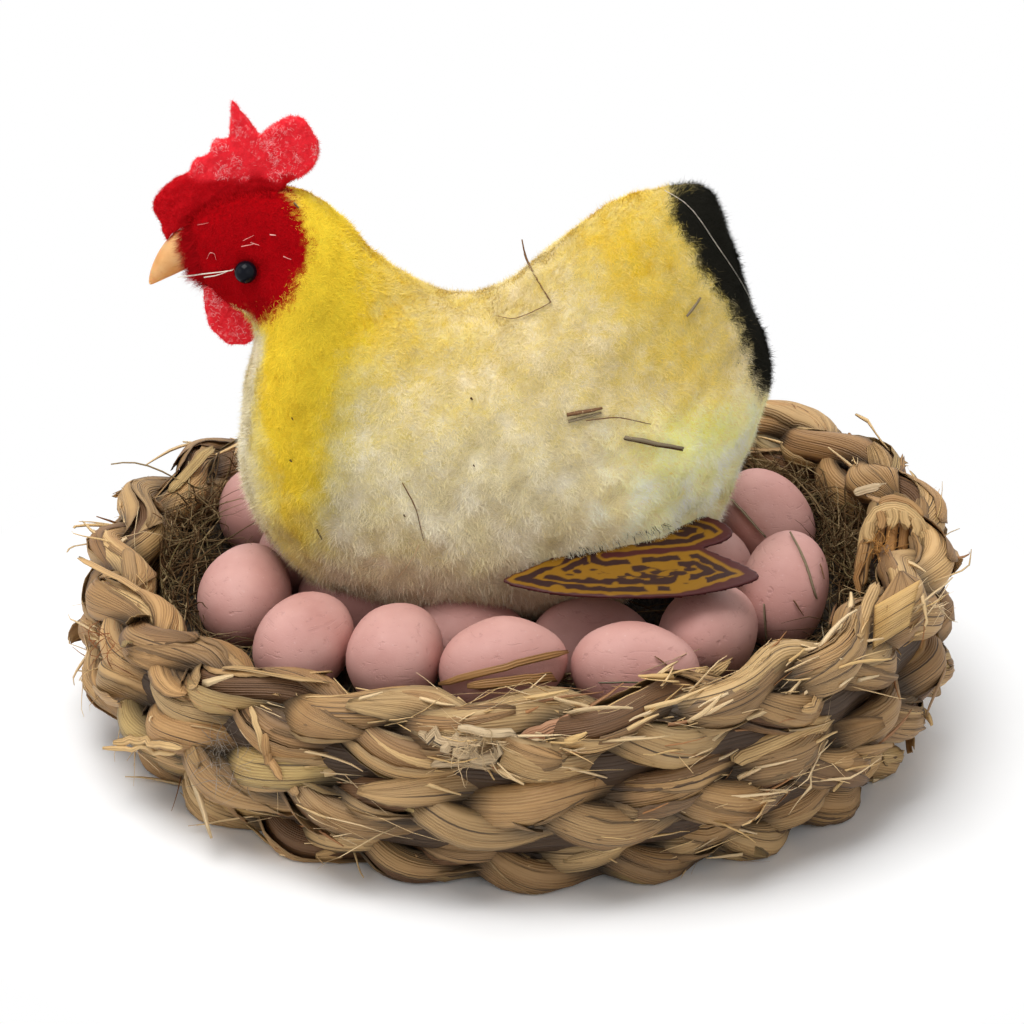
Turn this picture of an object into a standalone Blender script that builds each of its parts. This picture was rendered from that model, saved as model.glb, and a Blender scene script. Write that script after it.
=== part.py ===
"""A small hen ornament that sits on its eggs in a nest of braided husk rope.

Everything is in metres with +Z up. The nest's long axis lies along X, the hen looks towards -X,
and the origin is on the ground below the middle of the nest.
"""
import math

import bmesh
import bpy
import numpy as np
from mathutils import Matrix, Vector

# Fits between neighbouring pieces
CLEARANCE = 0.0003          # touching pieces stay this far apart
EGG_SINK = 0.0015           # how deep an egg lies in the hay

# Nest: a three-strand plait, laid in turns one on another
NEST_LENGTH = 0.1612        # over the widest turn, along X
NEST_WIDTH = 0.1550         # over the widest turn, along Y
ROPE_WIDTH = 0.0130         # across the plait, from inside to outside
ROPE_HEIGHT = 0.0146        # up the plait, before its neighbours press on it
ROW_RISE = 0.0131           # from one turn of the wall to the next
RIM_INSET = 0.0011          # the rim turn lies this far inside the widest turn
FOOT_INSET = 0.0072         # and so does the turn that stands on the ground
RIM_LEAN = 0.0041           # the rim is higher on the tail's side of the nest
RIM_SAG = 0.0010            # and a little lower in front
FOOT_PRESS = 0.0026         # the lowest turn and the mat are pressed flat by this much
PLAITS_PER_TURN = 7         # times that the plait repeats around one turn
MAT_HEIGHT = 0.0115         # thickness of the coiled mat that closes the nest below
MAT_EYE = 0.0030            # radius of the small hole at the mat's middle
ROPE_END_BEARING = 8.0      # where the rope's cut end is turned in over the rim, in degrees from +X
ROPE_END_WIDTH = 0.0110
ROPE_END_TOP = 0.25         # it starts this far above the rim's middle line, as a share of the rope's height
ROPE_END_DROP = 0.60        # how far it falls from there, as the same share
ROPE_END_SLANT = 0.45       # how far it slants inwards on the way, as a share of its width
ROPE_END_NECK = 0.60        # its width where it comes over the rim, as the same share
ROPE_END_DEPTH = 1.15       # how much deeper than wide it is

# Hay: a pressed bed on the mat
BED_TOP = 0.0215            # height of the hay where the eggs lie
BED_CURB = 0.0035           # the hay stands this much higher along the wall
BED_CURB_WIDTH = 0.0075

# Eggs
EGG_LENGTH = 0.0225
EGG_DIAMETER = 0.0162
EGG_POINT = 0.14            # how much slimmer the pointed half is

# Hen
HEN_LENGTH = 0.1058         # from the beak's root to the tail
HEN_HEIGHT = 0.0824         # from the belly to the tail's top
HEN_WIDTH = 0.0540
HEN_PLACE_X = -0.0610       # where the beak's root is, along the nest
FELT_THICKNESS = 0.0022
COMB_LENGTH = 0.0290
COMB_HEIGHT = 0.0262
COMB_SLOT = 0.0030          # how deep the comb stands in the head
WATTLE_LENGTH = 0.0102
WATTLE_HEIGHT = 0.0128
WATTLE_SPREAD = 0.0072      # from one wattle's middle to the other's
BEAK_LENGTH = 0.0092        # what shows of it
BEAK_HEIGHT = 0.0072
BEAK_WIDTH = 0.0056
BEAK_ROOT = 0.0025          # what is set into the head
BEAK_DROP = 0.80            # fall for each unit ahead
EYE_DIAMETER = 0.0040
EYE_SHOWS = 0.62            # share of the bead that stands out of the head
WING_LENGTH = 0.0450
WING_WIDTH = 0.0250
WING_THICKNESS = 0.0006
WING_TILT = 12.0            # degrees that the wing falls outwards
WING_PROUD = 0.0100         # how far it stands out of the flank
WING_AHEAD = 0.165          # share of it that lies ahead of that place

# Colours and finishes: base colour, roughness, metallic
FINISHES = {
    "yellow_flock": ((0.86, 0.72, 0.20), 0.95, 0.0),
    "red_felt": ((0.62, 0.02, 0.03), 0.90, 0.0),
    "beak_plastic": ((0.72, 0.42, 0.14), 0.35, 0.0),
    "eye_bead": ((0.01, 0.01, 0.015), 0.08, 0.0),
    "printed_wing": ((0.55, 0.33, 0.05), 0.50, 0.0),
    "pink_egg": ((0.74, 0.47, 0.44), 0.75, 0.0),
    "husk_rope": ((0.50, 0.36, 0.19), 0.80, 0.0),
    "hay": ((0.16, 0.13, 0.08), 0.95, 0.0),
}

# The hen from the beak's root to the tail, as the two ends of each cross-section and its half width.
# Back and belly are shares of the hen's length and height, half widths are shares of half its width.
HEN_STATIONS = (
    (0.000, 0.840, 0.004, 0.790, 0.05),
    (0.006, 0.874, 0.014, 0.766, 0.14),
    (0.037, 0.930, 0.040, 0.736, 0.28),
    (0.093, 0.960, 0.078, 0.700, 0.36),
    (0.164, 0.964, 0.112, 0.664, 0.40),
    (0.215, 0.942, 0.123, 0.600, 0.46),
    (0.266, 0.893, 0.107, 0.507, 0.56),
    (0.313, 0.834, 0.098, 0.399, 0.68),
    (0.360, 0.778, 0.106, 0.288, 0.80),
    (0.407, 0.738, 0.145, 0.180, 0.91),
    (0.453, 0.716, 0.229, 0.081, 0.98),
    (0.500, 0.717, 0.388, 0.010, 1.00),
    (0.547, 0.748, 0.575, 0.000, 0.97),
    (0.603, 0.812, 0.743, 0.022, 0.88),
    (0.659, 0.890, 0.864, 0.125, 0.72),
    (0.720, 0.946, 0.925, 0.250, 0.56),
    (0.780, 0.982, 0.963, 0.375, 0.43),
    (0.836, 0.998, 0.990, 0.489, 0.33),
    (0.876, 0.982, 1.000, 0.553, 0.22),
    (0.892, 0.962, 1.000, 0.590, 0.08),
)
STATION_STEPS = 2           # cross-sections from one station to the next
SECTION_POINTS = 26
SECTION_SQUARENESS = 2.25   # 2 is an ellipse
SECTION_PEAR = 0.12         # the belly is this much fuller than the back

# Stations, counted from the beak, that carry the trim
BEAK_STATION = 0.6
COMB_STATION = 3.78
EYE_STATION = 3.62
EYE_ANGLE = 92.0            # degrees down from the back line
WATTLE_STATION = 2.6
WING_STATION = 12.4
WING_ANGLE = 110.0

# Each egg: its place as shares of the wall's half length and half width, its height above where it
# would lie on the hay, its heading and its pitch in degrees
EGGS = (
    (-0.64, -0.15, 0.0000, 80, 12),
    (-0.56, 0.09, 0.0000, 60, 0),
    (-0.41, -0.14, -0.0025, -30, 0),
    (-0.46, -0.47, 0.0000, 70, 8),
    (-0.27, -0.50, 0.0005, 78, 5),
    (-0.03, -0.58, 0.0010, 14, 6),
    (0.26, -0.56, 0.0005, -4, 0),
    (0.45, -0.37, 0.0005, 65, 0),
    (0.65, -0.13, 0.0000, 75, 42),
    (0.62, 0.28, 0.0010, 115, 30),
    (0.50, 0.08, -0.0015, 90, 0),
    (0.17, -0.31, -0.0040, 20, 0),
    (-0.13, -0.31, -0.0040, 0, 0),
    (0.43, 0.52, 0.0000, 150, 0),
    (0.15, 0.60, 0.0000, 5, 0),
    (-0.16, 0.59, 0.0000, 175, 0),
    (-0.44, 0.51, 0.0000, 40, 0),
    (-0.61, 0.31, 0.0000, 100, 0),
)
SETTLE_PASSES = 400

# Fineness of the round pieces
ROW_STATIONS = 77
ROW_POINTS = 14
MAT_STATION_STEP = 0.0110
MAT_POINTS = 10
EGG_RINGS = 7
EGG_SIDES = 12
BED_SIDES = 40


def clear_scene():
    for thing in list(bpy.data.objects):
        bpy.data.objects.remove(thing, do_unlink=True)


def finish(name):
    """The Principled material of one finish, made once."""
    if name in bpy.data.materials:
        return bpy.data.materials[name]
    colour, roughness, metallic = FINISHES[name]
    material = bpy.data.materials.new(name)
    material.use_nodes = True
    shader = material.node_tree.nodes["Principled BSDF"]
    shader.inputs["Base Color"].default_value = (*colour, 1.0)
    shader.inputs["Roughness"].default_value = roughness
    shader.inputs["Metallic"].default_value = metallic
    return material


def make_object(name, mesh_edit, finish_name, smooth=50.0):
    """Turns a bmesh into a named object with its finish and smooth shading."""
    bmesh.ops.recalc_face_normals(mesh_edit, faces=mesh_edit.faces)
    mesh = bpy.data.meshes.new(name)
    mesh_edit.to_mesh(mesh)
    mesh_edit.free()
    mesh.shade_smooth()
    mesh.set_sharp_from_angle(angle=math.radians(smooth))
    mesh.materials.append(finish(finish_name))
    made = bpy.data.objects.new(name, mesh)
    bpy.context.scene.collection.objects.link(made)
    return made


def make_cutter(name, mesh_edit):
    """A guide that is only subtracted from other pieces."""
    bmesh.ops.recalc_face_normals(mesh_edit, faces=mesh_edit.faces)
    mesh = bpy.data.meshes.new(name)
    mesh_edit.to_mesh(mesh)
    mesh_edit.free()
    made = bpy.data.objects.new(name, mesh)
    bpy.context.scene.collection.objects.link(made)
    made.hide_render = True
    made.display_type = "WIRE"
    return made


def cut(piece, cutters):
    """Subtracts each cutter from the piece, as a live modifier."""
    for cutter in cutters:
        modifier = piece.modifiers.new("cut_" + cutter.name, "BOOLEAN")
        modifier.operation = "DIFFERENCE"
        modifier.solver = "EXACT"
        modifier.object = cutter


def skin_grid(grid, closed_along=False):
    """Faces over rows of points. Each row is a closed ring; the ends are capped unless the rows close too."""
    mesh_edit = bmesh.new()
    rings = [[mesh_edit.verts.new(point) for point in row] for row in grid]
    count = len(rings[0])
    last = len(rings) if closed_along else len(rings) - 1
    for index in range(last):
        near, far = rings[index], rings[(index + 1) % len(rings)]
        for side in range(count):
            after = (side + 1) % count
            mesh_edit.faces.new((near[side], near[after], far[after], far[side]))
    if not closed_along:
        mesh_edit.faces.new(list(reversed(rings[0])))
        mesh_edit.faces.new(rings[-1])
    return mesh_edit


def through_points(points, steps, closed=False):
    """A smooth run through control points, Catmull-Rom, with a few steps from each point to the next."""
    points = np.asarray(points, dtype=float)
    count = len(points)
    run = []
    for index in range(count if closed else count - 1):
        if closed:
            before, start, end, after = (points[(index + k) % count] for k in (-1, 0, 1, 2))
        else:
            start, end = points[index], points[index + 1]
            before = points[index - 1] if index else 2 * start - end
            after = points[index + 2] if index + 2 < count else 2 * end - start
        for step in range(steps):
            t = step / steps
            run.append(0.5 * (2 * start + (end - before) * t
                              + (2 * before - 5 * start + 4 * end - after) * t ** 2
                              + (3 * start - before - 3 * end + after) * t ** 3))
    if not closed:
        run.append(points[-1])
    return np.array(run)


# The plait

STRANDS = 3
STRAND_RADIUS = 0.52        # of one strand, as a share of the rope's half size
SWING_UP = 0.48             # how far a strand swings up and down, as the same share
SWING_OUT = 0.48            # and in and out, twice as often


def plait_reach(angle, phase):
    """From the rope's middle to its surface, as a share of its half size: the furthest of three strands."""
    reach = np.full(np.shape(angle), STRAND_RADIUS * 0.8)
    for strand in range(STRANDS):
        turn = phase + 2 * math.pi * strand / STRANDS
        middle = np.array((SWING_OUT * math.sin(2 * turn), SWING_UP * math.sin(turn)))
        along = np.cos(angle) * middle[0] + np.sin(angle) * middle[1]
        inside = STRAND_RADIUS ** 2 - middle @ middle + along ** 2
        reach = np.maximum(reach, along + np.sqrt(np.maximum(inside, 0.0)) * (inside > 0))
    return reach


def plait_section(phase, half_width, half_height, points):
    """Offsets (outwards, upwards) of one cross-section of the rope."""
    angle = (np.arange(points) + 0.5) * 2 * math.pi / points - math.pi / 2
    reach = plait_reach(angle, phase)
    return reach * half_width * np.cos(angle), reach * half_height * np.sin(angle)


# The nest

HALF_ROPE = ROPE_WIDTH / 2
OVAL = (NEST_WIDTH / 2 - HALF_ROPE) / (NEST_LENGTH / 2 - HALF_ROPE)
WALL_RADIUS = NEST_LENGTH / 2 - HALF_ROPE
FOOT_Z = ROPE_HEIGHT / 2 - FOOT_PRESS
ROW_INSETS = {"nest_foot_row": FOOT_INSET, "nest_middle_row": 0.0, "nest_rim_row": RIM_INSET}
ROW_NAMES = list(ROW_INSETS)
MAT_RADIUS = WALL_RADIUS - FOOT_INSET - HALF_ROPE - CLEARANCE
BED_RADIUS = WALL_RADIUS - HALF_ROPE - CLEARANCE


def row_height(row, bearing):
    """Middle height of a turn of the wall. The higher turns lean and sag more."""
    share = row / (len(ROW_NAMES) - 1)
    return FOOT_Z + row * ROW_RISE + share * (RIM_LEAN * math.cos(bearing) + RIM_SAG * math.sin(bearing))


def seam_height(row, bearing):
    """Height of the seam between a turn and the one above it."""
    return (row_height(row, bearing) + row_height(row + 1, bearing)) / 2


def make_row(row):
    """One turn of the plait, pressed flat where its neighbours or the ground touch it."""
    name = ROW_NAMES[row]
    radius = WALL_RADIUS - ROW_INSETS[name]
    grid = []
    for station in range(ROW_STATIONS):
        bearing = 2 * math.pi * station / ROW_STATIONS
        phase = PLAITS_PER_TURN * bearing + row * math.pi / 3
        out, up = plait_section(phase, HALF_ROPE, ROPE_HEIGHT / 2, ROW_POINTS)
        height = row_height(row, bearing) + up
        lowest = seam_height(row - 1, bearing) + CLEARANCE / 2 if row else 0.0
        height = np.maximum(height, lowest)
        if row + 1 < len(ROW_NAMES):
            height = np.minimum(height, seam_height(row, bearing) - CLEARANCE / 2)
        reach = radius + out
        grid.append(np.stack((reach * math.cos(bearing), reach * OVAL * math.sin(bearing), height), axis=-1))
    return make_object(name, skin_grid(grid, closed_along=True), "husk_rope")


def make_mat():
    """The mat below: the same plait wound in a flat spiral, its outer end tapered to close the oval."""
    pitch = ROPE_WIDTH + CLEARANCE
    turns = (MAT_RADIUS - MAT_EYE) / pitch
    thin = 0.18
    grid = []
    wound = turns
    length = 0.0
    while wound > thin:
        outer = min(MAT_RADIUS, MAT_RADIUS - pitch * (wound - 1))
        inner = MAT_RADIUS - pitch * wound
        middle = (outer + inner) / 2
        half = (outer - inner - CLEARANCE) / 2
        half *= min(1.0, 0.7 + 0.6 * (turns - wound))
        out, up = plait_section(length * PLAITS_PER_TURN / WALL_RADIUS, half, ROPE_HEIGHT / 2, MAT_POINTS)
        height = np.clip(FOOT_Z + up, 0.0, MAT_HEIGHT)
        bearing = 2 * math.pi * (turns - wound)
        reach = middle + out
        grid.append(np.stack((reach * math.cos(bearing), reach * OVAL * math.sin(bearing), height), axis=-1))
        length += MAT_STATION_STEP
        wound -= MAT_STATION_STEP / (2 * math.pi * max(middle, 0.012))
    return make_object("nest_mat", skin_grid(grid), "husk_rope")


def bed_profile():
    """Half of the hay bed's cross-section, from its middle below, round the outside, to its middle above."""
    floor = MAT_HEIGHT + CLEARANCE
    crown = BED_TOP + BED_CURB
    under_rim = BED_RADIUS - RIM_INSET
    foot_top = max(seam_height(0, math.radians(bearing)) for bearing in range(0, 360, 15)) + CLEARANCE
    return ((MAT_RADIUS * 0.45, floor), (MAT_RADIUS, floor), (MAT_RADIUS, foot_top),
            (BED_RADIUS, FOOT_Z + ROW_RISE), (under_rim, BED_TOP), (under_rim - BED_CURB_WIDTH * 0.3, crown),
            (under_rim - BED_CURB_WIDTH, BED_TOP), (MAT_RADIUS * 0.45, BED_TOP))


def make_bed():
    """The hay bed, turned from its profile, then made oval like the nest."""
    mesh_edit = bmesh.new()
    rings = []
    for radius, height in bed_profile():
        ring = []
        for side in range(BED_SIDES):
            bearing = 2 * math.pi * side / BED_SIDES
            ring.append(mesh_edit.verts.new((radius * math.cos(bearing), radius * OVAL * math.sin(bearing), height)))
        rings.append(ring)
    for near, far in zip(rings, rings[1:]):
        for side in range(BED_SIDES):
            after = (side + 1) % BED_SIDES
            mesh_edit.faces.new((near[side], near[after], far[after], far[side]))
    mesh_edit.faces.new(rings[0])
    mesh_edit.faces.new(rings[-1])
    return make_object("hay_bed", mesh_edit, "hay")


def rope_end_line(steps):
    """Middle points of the rope's cut end, from the rim's top down its inner side."""
    bearing = math.radians(ROPE_END_BEARING)
    start = row_height(len(ROW_NAMES) - 1, bearing) + ROPE_HEIGHT * ROPE_END_TOP
    line = []
    for step in range(steps + 1):
        share = step / steps
        reach = WALL_RADIUS - RIM_INSET - ROPE_END_SLANT * ROPE_END_WIDTH * share
        height = start - ROPE_HEIGHT * ROPE_END_DROP * share
        line.append((Vector((reach * math.cos(bearing), reach * OVAL * math.sin(bearing), height)), share))
    return line


def rope_end_mesh():
    """The rope's cut end: narrow where it comes over the rim, and full where it is cut off."""
    spin = Matrix.Rotation(math.radians(ROPE_END_BEARING), 3, "Z")
    grid = []
    for middle, share in rope_end_line(6):
        half = ROPE_END_WIDTH / 2 * (ROPE_END_NECK + (1 - ROPE_END_NECK) * min(1.0, 3 * share))
        out, side = plait_section(1.1 + 2.2 * share, half, half * ROPE_END_DEPTH, 12)
        grid.append([middle + spin @ Vector((x, y, 0.0)) for x, y in zip(out, side)])
    return skin_grid(grid)


def rope_end_socket():
    """A plain slanting hole in the rim that clears every strand of the cut end."""
    spin = Matrix.Rotation(math.radians(ROPE_END_BEARING), 3, "Z")
    line = [middle for middle, _ in rope_end_line(1)]
    slant = (line[1] - line[0]) * CLEARANCE / (line[0].z - line[1].z)
    half = ROPE_END_WIDTH / 2 * 1.06 + CLEARANCE
    grid = []
    for middle in (line[0] - slant, line[1] + slant):
        turns = [2 * math.pi * side / 16 for side in range(16)]
        grid.append([middle + spin @ Vector((math.cos(turn) * half, math.sin(turn) * half * ROPE_END_DEPTH, 0.0))
                     for turn in turns])
    return skin_grid(grid)


# The eggs

def egg_matrix(egg):
    x, y, z, heading, pitch = egg
    turn = Matrix.Rotation(math.radians(heading), 4, "Z") @ Matrix.Rotation(math.radians(-pitch), 4, "Y")
    return Matrix.Translation((x, y, z)) @ turn


def egg_rise(pitch):
    """Half the height of an egg that is pitched out of the level."""
    tip = EGG_LENGTH / 2 * math.sin(math.radians(pitch))
    side = EGG_DIAMETER / 2 * math.cos(math.radians(pitch))
    return math.hypot(tip, side)


def egg_mesh(egg, grow=0.0):
    """An egg turned about its long axis, blunt at one end and slimmer at the other."""
    half_length = EGG_LENGTH / 2 + grow
    half_width = EGG_DIAMETER / 2 + grow
    place = egg_matrix(egg)
    mesh_edit = bmesh.new()
    blunt = mesh_edit.verts.new(place @ Vector((-half_length, 0.0, 0.0)))
    point = mesh_edit.verts.new(place @ Vector((half_length, 0.0, 0.0)))
    rings = []
    for index in range(1, EGG_RINGS):
        polar = math.pi * index / EGG_RINGS
        along = -math.cos(polar)
        width = half_width * math.sin(polar) * (1 - EGG_POINT * along)
        ring = []
        for side in range(EGG_SIDES):
            turn = 2 * math.pi * side / EGG_SIDES
            offset = Vector((along * half_length, width * math.cos(turn), width * math.sin(turn)))
            ring.append(mesh_edit.verts.new(place @ offset))
        rings.append(ring)
    for side in range(EGG_SIDES):
        after = (side + 1) % EGG_SIDES
        mesh_edit.faces.new((blunt, rings[0][after], rings[0][side]))
        mesh_edit.faces.new((point, rings[-1][side], rings[-1][after]))
        for near, far in zip(rings, rings[1:]):
            mesh_edit.faces.new((near[side], near[after], far[after], far[side]))
    return mesh_edit


def egg_balls(egg):
    """Five balls that fill an egg, as rows of x, y, z and radius."""
    place = egg_matrix(egg)
    balls = []
    for share in (-0.50, -0.25, 0.0, 0.25, 0.50):
        along = share * EGG_LENGTH / 2
        width = EGG_DIAMETER / 2 * (1 - EGG_POINT * share)
        radius = width * math.sqrt(1 - share ** 2)
        radius = min(radius, EGG_LENGTH / 2 - abs(along) if abs(share) == 0.5 else radius)
        balls.append((*(place @ Vector((along, 0.0, 0.0))), radius + CLEARANCE))
    return np.array(balls)


def settle_eggs():
    """Lays the eggs on the hay, then pushes them apart, and off the wall, until none presses another."""
    eggs = []
    for along, aside, lift, heading, pitch in EGGS:
        height = BED_TOP - EGG_SINK + lift + egg_rise(pitch)
        eggs.append([along * WALL_RADIUS, aside * WALL_RADIUS * OVAL, height, heading, pitch])
    room = WALL_RADIUS - RIM_INSET - HALF_ROPE - CLEARANCE
    rope_end = [(*place, ROPE_END_WIDTH * 0.6 + CLEARANCE) for place, _ in rope_end_line(3)]
    for _ in range(SETTLE_PASSES):
        moved = 0.0
        for first in range(len(eggs)):
            for second in range(first + 1, len(eggs)):
                gap = math.dist(eggs[first][:3], eggs[second][:3])
                if gap > EGG_LENGTH + 2 * CLEARANCE:
                    continue
                a, b = egg_balls(eggs[first]), egg_balls(eggs[second])
                apart = a[:, None, :3] - b[None, :, :3]
                distance = np.linalg.norm(apart, axis=-1)
                press = a[:, None, 3] + b[None, :, 3] - distance
                i, j = np.unravel_index(np.argmax(press), press.shape)
                if press[i, j] <= 0:
                    continue
                push = apart[i, j, :2] / max(np.linalg.norm(apart[i, j, :2]), 1e-9) * press[i, j] * 0.55
                eggs[first][0] += push[0]
                eggs[first][1] += push[1]
                eggs[second][0] -= push[0]
                eggs[second][1] -= push[1]
                moved = max(moved, press[i, j])
        for egg in eggs:
            for x, y, z, radius in egg_balls(egg):
                for post_x, post_y, post_z, post_radius in rope_end:
                    apart = math.dist((x, y, z), (post_x, post_y, post_z))
                    if apart < radius + post_radius:
                        egg[0] += (x - post_x) * (radius + post_radius - apart) / apart
                        egg[1] += (y - post_y) * (radius + post_radius - apart) / apart
                reach = math.hypot(x, y / OVAL)
                over = reach + radius / OVAL - room
                if over > 0:
                    egg[0] -= over * x / reach
                    egg[1] -= over * y / reach
        if moved == 0.0:
            break
    return [tuple(egg) for egg in eggs]


# The hen

SEAT = BED_TOP + CLEARANCE  # height of the belly's lowest point


def smooth_stations():
    return through_points(HEN_STATIONS, STATION_STEPS)


def hen_section(row):
    """Back point, belly point and half width of a cross-section, in metres."""
    back = Vector((HEN_PLACE_X + row[0] * HEN_LENGTH, 0.0, SEAT + row[1] * HEN_HEIGHT))
    belly = Vector((HEN_PLACE_X + row[2] * HEN_LENGTH, 0.0, SEAT + row[3] * HEN_HEIGHT))
    return back, belly, row[4] * HEN_WIDTH / 2


def hen_point(row, angle):
    """A point on the hen's skin. The angle runs from the back line, down the +Y side."""
    back, belly, half_width = hen_section(row)
    power = 2 / SECTION_SQUARENESS
    down = math.copysign(abs(math.cos(angle)) ** power, math.cos(angle))
    out = math.copysign(abs(math.sin(angle)) ** power, math.sin(angle))
    middle = (back + belly) / 2
    return middle + (back - belly) / 2 * down + Vector((0.0, half_width * out * (1 - SECTION_PEAR * down), 0.0))


def station_row(station):
    """The smoothed numbers at any station, whole or not."""
    rows = smooth_stations()
    place = station * STATION_STEPS
    low = int(place)
    share = place - low
    return rows[low] * (1 - share) + rows[min(low + 1, len(rows) - 1)] * share


def skin_frame(station, angle):
    """A point on the skin with its outward direction and the direction towards the tail."""
    here = hen_point(station_row(station), angle)
    tailward = hen_point(station_row(station + 0.2), angle) - here
    around = hen_point(station_row(station), angle + 0.05) - here
    normal = tailward.cross(around).normalized()
    centre = sum(hen_section(station_row(station))[:2], Vector()) / 2
    if normal.dot(here - centre) < 0:
        normal.negate()
    return here, normal, tailward.normalized()


def make_body():
    grid = []
    for row in smooth_stations():
        angles = [2 * math.pi * index / SECTION_POINTS for index in range(SECTION_POINTS)]
        grid.append([hen_point(row, angle) for angle in angles])
    return make_object("hen_body", skin_grid(grid), "yellow_flock", smooth=60)


def ball_mesh(centre, radius, sides=10, rings=6):
    mesh_edit = bmesh.new()
    bmesh.ops.create_uvsphere(mesh_edit, u_segments=sides, v_segments=rings, radius=radius)
    bmesh.ops.translate(mesh_edit, verts=mesh_edit.verts, vec=centre)
    return mesh_edit


def eye_place(side):
    here, normal, _ = skin_frame(EYE_STATION, math.radians(EYE_ANGLE) * side)
    return here + normal * EYE_DIAMETER * (EYE_SHOWS - 0.5)


def make_eyes():
    """The bead eyes and their sockets."""
    sockets = []
    for name, side in (("eye_left", -1), ("eye_right", 1)):
        make_object(name, ball_mesh(eye_place(side), EYE_DIAMETER / 2), "eye_bead")
        sockets.append(make_cutter("socket_" + name, ball_mesh(eye_place(side), EYE_DIAMETER / 2 + CLEARANCE)))
    return sockets


# The beak from its root to its tip: share of the length, share of the height and of the width, droop
BEAK_SHAPE = (
    (0.00, 1.00, 1.00, 0.00),
    (0.30, 0.86, 0.88, 0.02),
    (0.60, 0.60, 0.62, 0.10),
    (0.85, 0.32, 0.34, 0.24),
    (1.00, 0.08, 0.10, 0.38),
)


def beak_mesh(grow=0.0):
    """A small horn: its root is a straight peg in the head, and it narrows and droops to the tip."""
    back, belly, _ = hen_section(station_row(BEAK_STATION))
    root = (back + belly) / 2
    ahead = Vector((-1.0, 0.0, -BEAK_DROP)).normalized()
    up = Vector((-ahead.z, 0.0, ahead.x)) * -1.0
    rows = [(-(BEAK_ROOT + grow) / BEAK_LENGTH, 1.0, 1.0, 0.0)] + list(BEAK_SHAPE)
    grid = []
    for along, height, width, droop in rows:
        middle = root + ahead * along * BEAK_LENGTH - up * droop * BEAK_HEIGHT * 0.5
        ring = []
        for index in range(10):
            angle = 2 * math.pi * index / 10
            rise = (height * BEAK_HEIGHT / 2 + grow) * math.cos(angle)
            out = (width * BEAK_WIDTH / 2 + grow) * math.sin(angle)
            ring.append(middle + up * rise + Vector((0.0, out, 0.0)))
        grid.append(ring)
    return skin_grid(grid)


# Felt outlines as shares of the piece's length and height, from the front. A third value of 1 marks a corner.
COMB_OUTLINE = (
    (0.10, 0.00, 0), (0.045, 0.14, 0), (0.00, 0.25, 0), (0.045, 0.365, 0), (0.15, 0.46, 0), (0.235, 0.50, 1),
    (0.25, 0.575, 0), (0.355, 0.63, 1), (0.375, 0.72, 0), (0.47, 0.745, 1), (0.485, 1.00, 1), (0.56, 0.89, 0),
    (0.645, 0.755, 1), (0.70, 0.815, 0), (0.775, 0.87, 0), (0.87, 0.895, 0), (0.95, 0.83, 0), (1.00, 0.71, 0),
    (0.985, 0.61, 0), (0.91, 0.50, 0), (0.80, 0.44, 0), (0.70, 0.30, 0), (0.40, 0.22, 0), (0.24, 0.06, 0),
)
WATTLE_OUTLINE = (
    (0.02, 1.00, 1), (0.00, 0.72, 0), (0.06, 0.42, 0), (0.22, 0.16, 0), (0.46, 0.02, 0), (0.74, 0.02, 0),
    (0.96, 0.20, 0), (1.00, 0.52, 0), (0.98, 0.80, 0), (0.84, 1.05, 0), (0.45, 1.16, 0),
)


def smooth_outline(outline, length, height, steps=3):
    """Control points joined by smooth runs that break at the corners."""
    corners = [index for index, point in enumerate(outline) if point[2]]
    points = [(x * length, z * height) for x, z, _ in outline]
    count = len(points)
    run = []
    for index, start in enumerate(corners):
        end = corners[(index + 1) % len(corners)]
        stretch = [points[k % count] for k in range(start, end + 1 if end > start else end + count + 1)]
        run.extend(through_points(stretch, steps)[:-1])
    return np.array(run)


def grown_outline(outline, grow):
    """The outline moved outwards by a distance, corner by corner."""
    area = 0.5 * sum(a[0] * b[1] - b[0] * a[1] for a, b in zip(outline, np.roll(outline, -1, axis=0)))
    facing = 1.0 if area > 0 else -1.0
    grown = []
    for before, here, after in zip(np.roll(outline, 1, axis=0), outline, np.roll(outline, -1, axis=0)):
        normals = []
        for start, end in ((before, here), (here, after)):
            edge = (end - start) / np.linalg.norm(end - start)
            normals.append(np.array((edge[1], -edge[0])) * facing)
        blend = normals[0] + normals[1]
        blend /= max(np.linalg.norm(blend), 1e-6)
        grown.append(here + blend * grow / max(blend @ normals[0], 0.5))
    return np.array(grown)


def plate_mesh(outline, thickness, place):
    """A flat plate in the XZ plane, centred on y = 0, with its outline moved to a place."""
    mesh_edit = bmesh.new()
    sides = []
    for y in (-thickness / 2, thickness / 2):
        sides.append([mesh_edit.verts.new((place[0] + x, place[1] + y, place[2] + z)) for x, z in outline])
    count = len(outline)
    for index in range(count):
        after = (index + 1) % count
        mesh_edit.faces.new((sides[0][index], sides[0][after], sides[1][after], sides[1][index]))
    mesh_edit.faces.new(sides[0])
    mesh_edit.faces.new(list(reversed(sides[1])))
    return mesh_edit


def comb_place():
    """The comb's outline starts ahead of the crown and as deep in the head as its slot."""
    back, _, _ = hen_section(station_row(COMB_STATION))
    return back + Vector((-COMB_LENGTH * 0.70, 0.0, -COMB_SLOT - COMB_HEIGHT * 0.305))


def wattle_place(side):
    """A wattle hangs from the cheek, its top edge set into the head."""
    _, belly, _ = hen_section(station_row(WATTLE_STATION))
    return belly + Vector((-WATTLE_LENGTH * 0.23, side * WATTLE_SPREAD / 2, -WATTLE_HEIGHT * 0.62))


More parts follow.
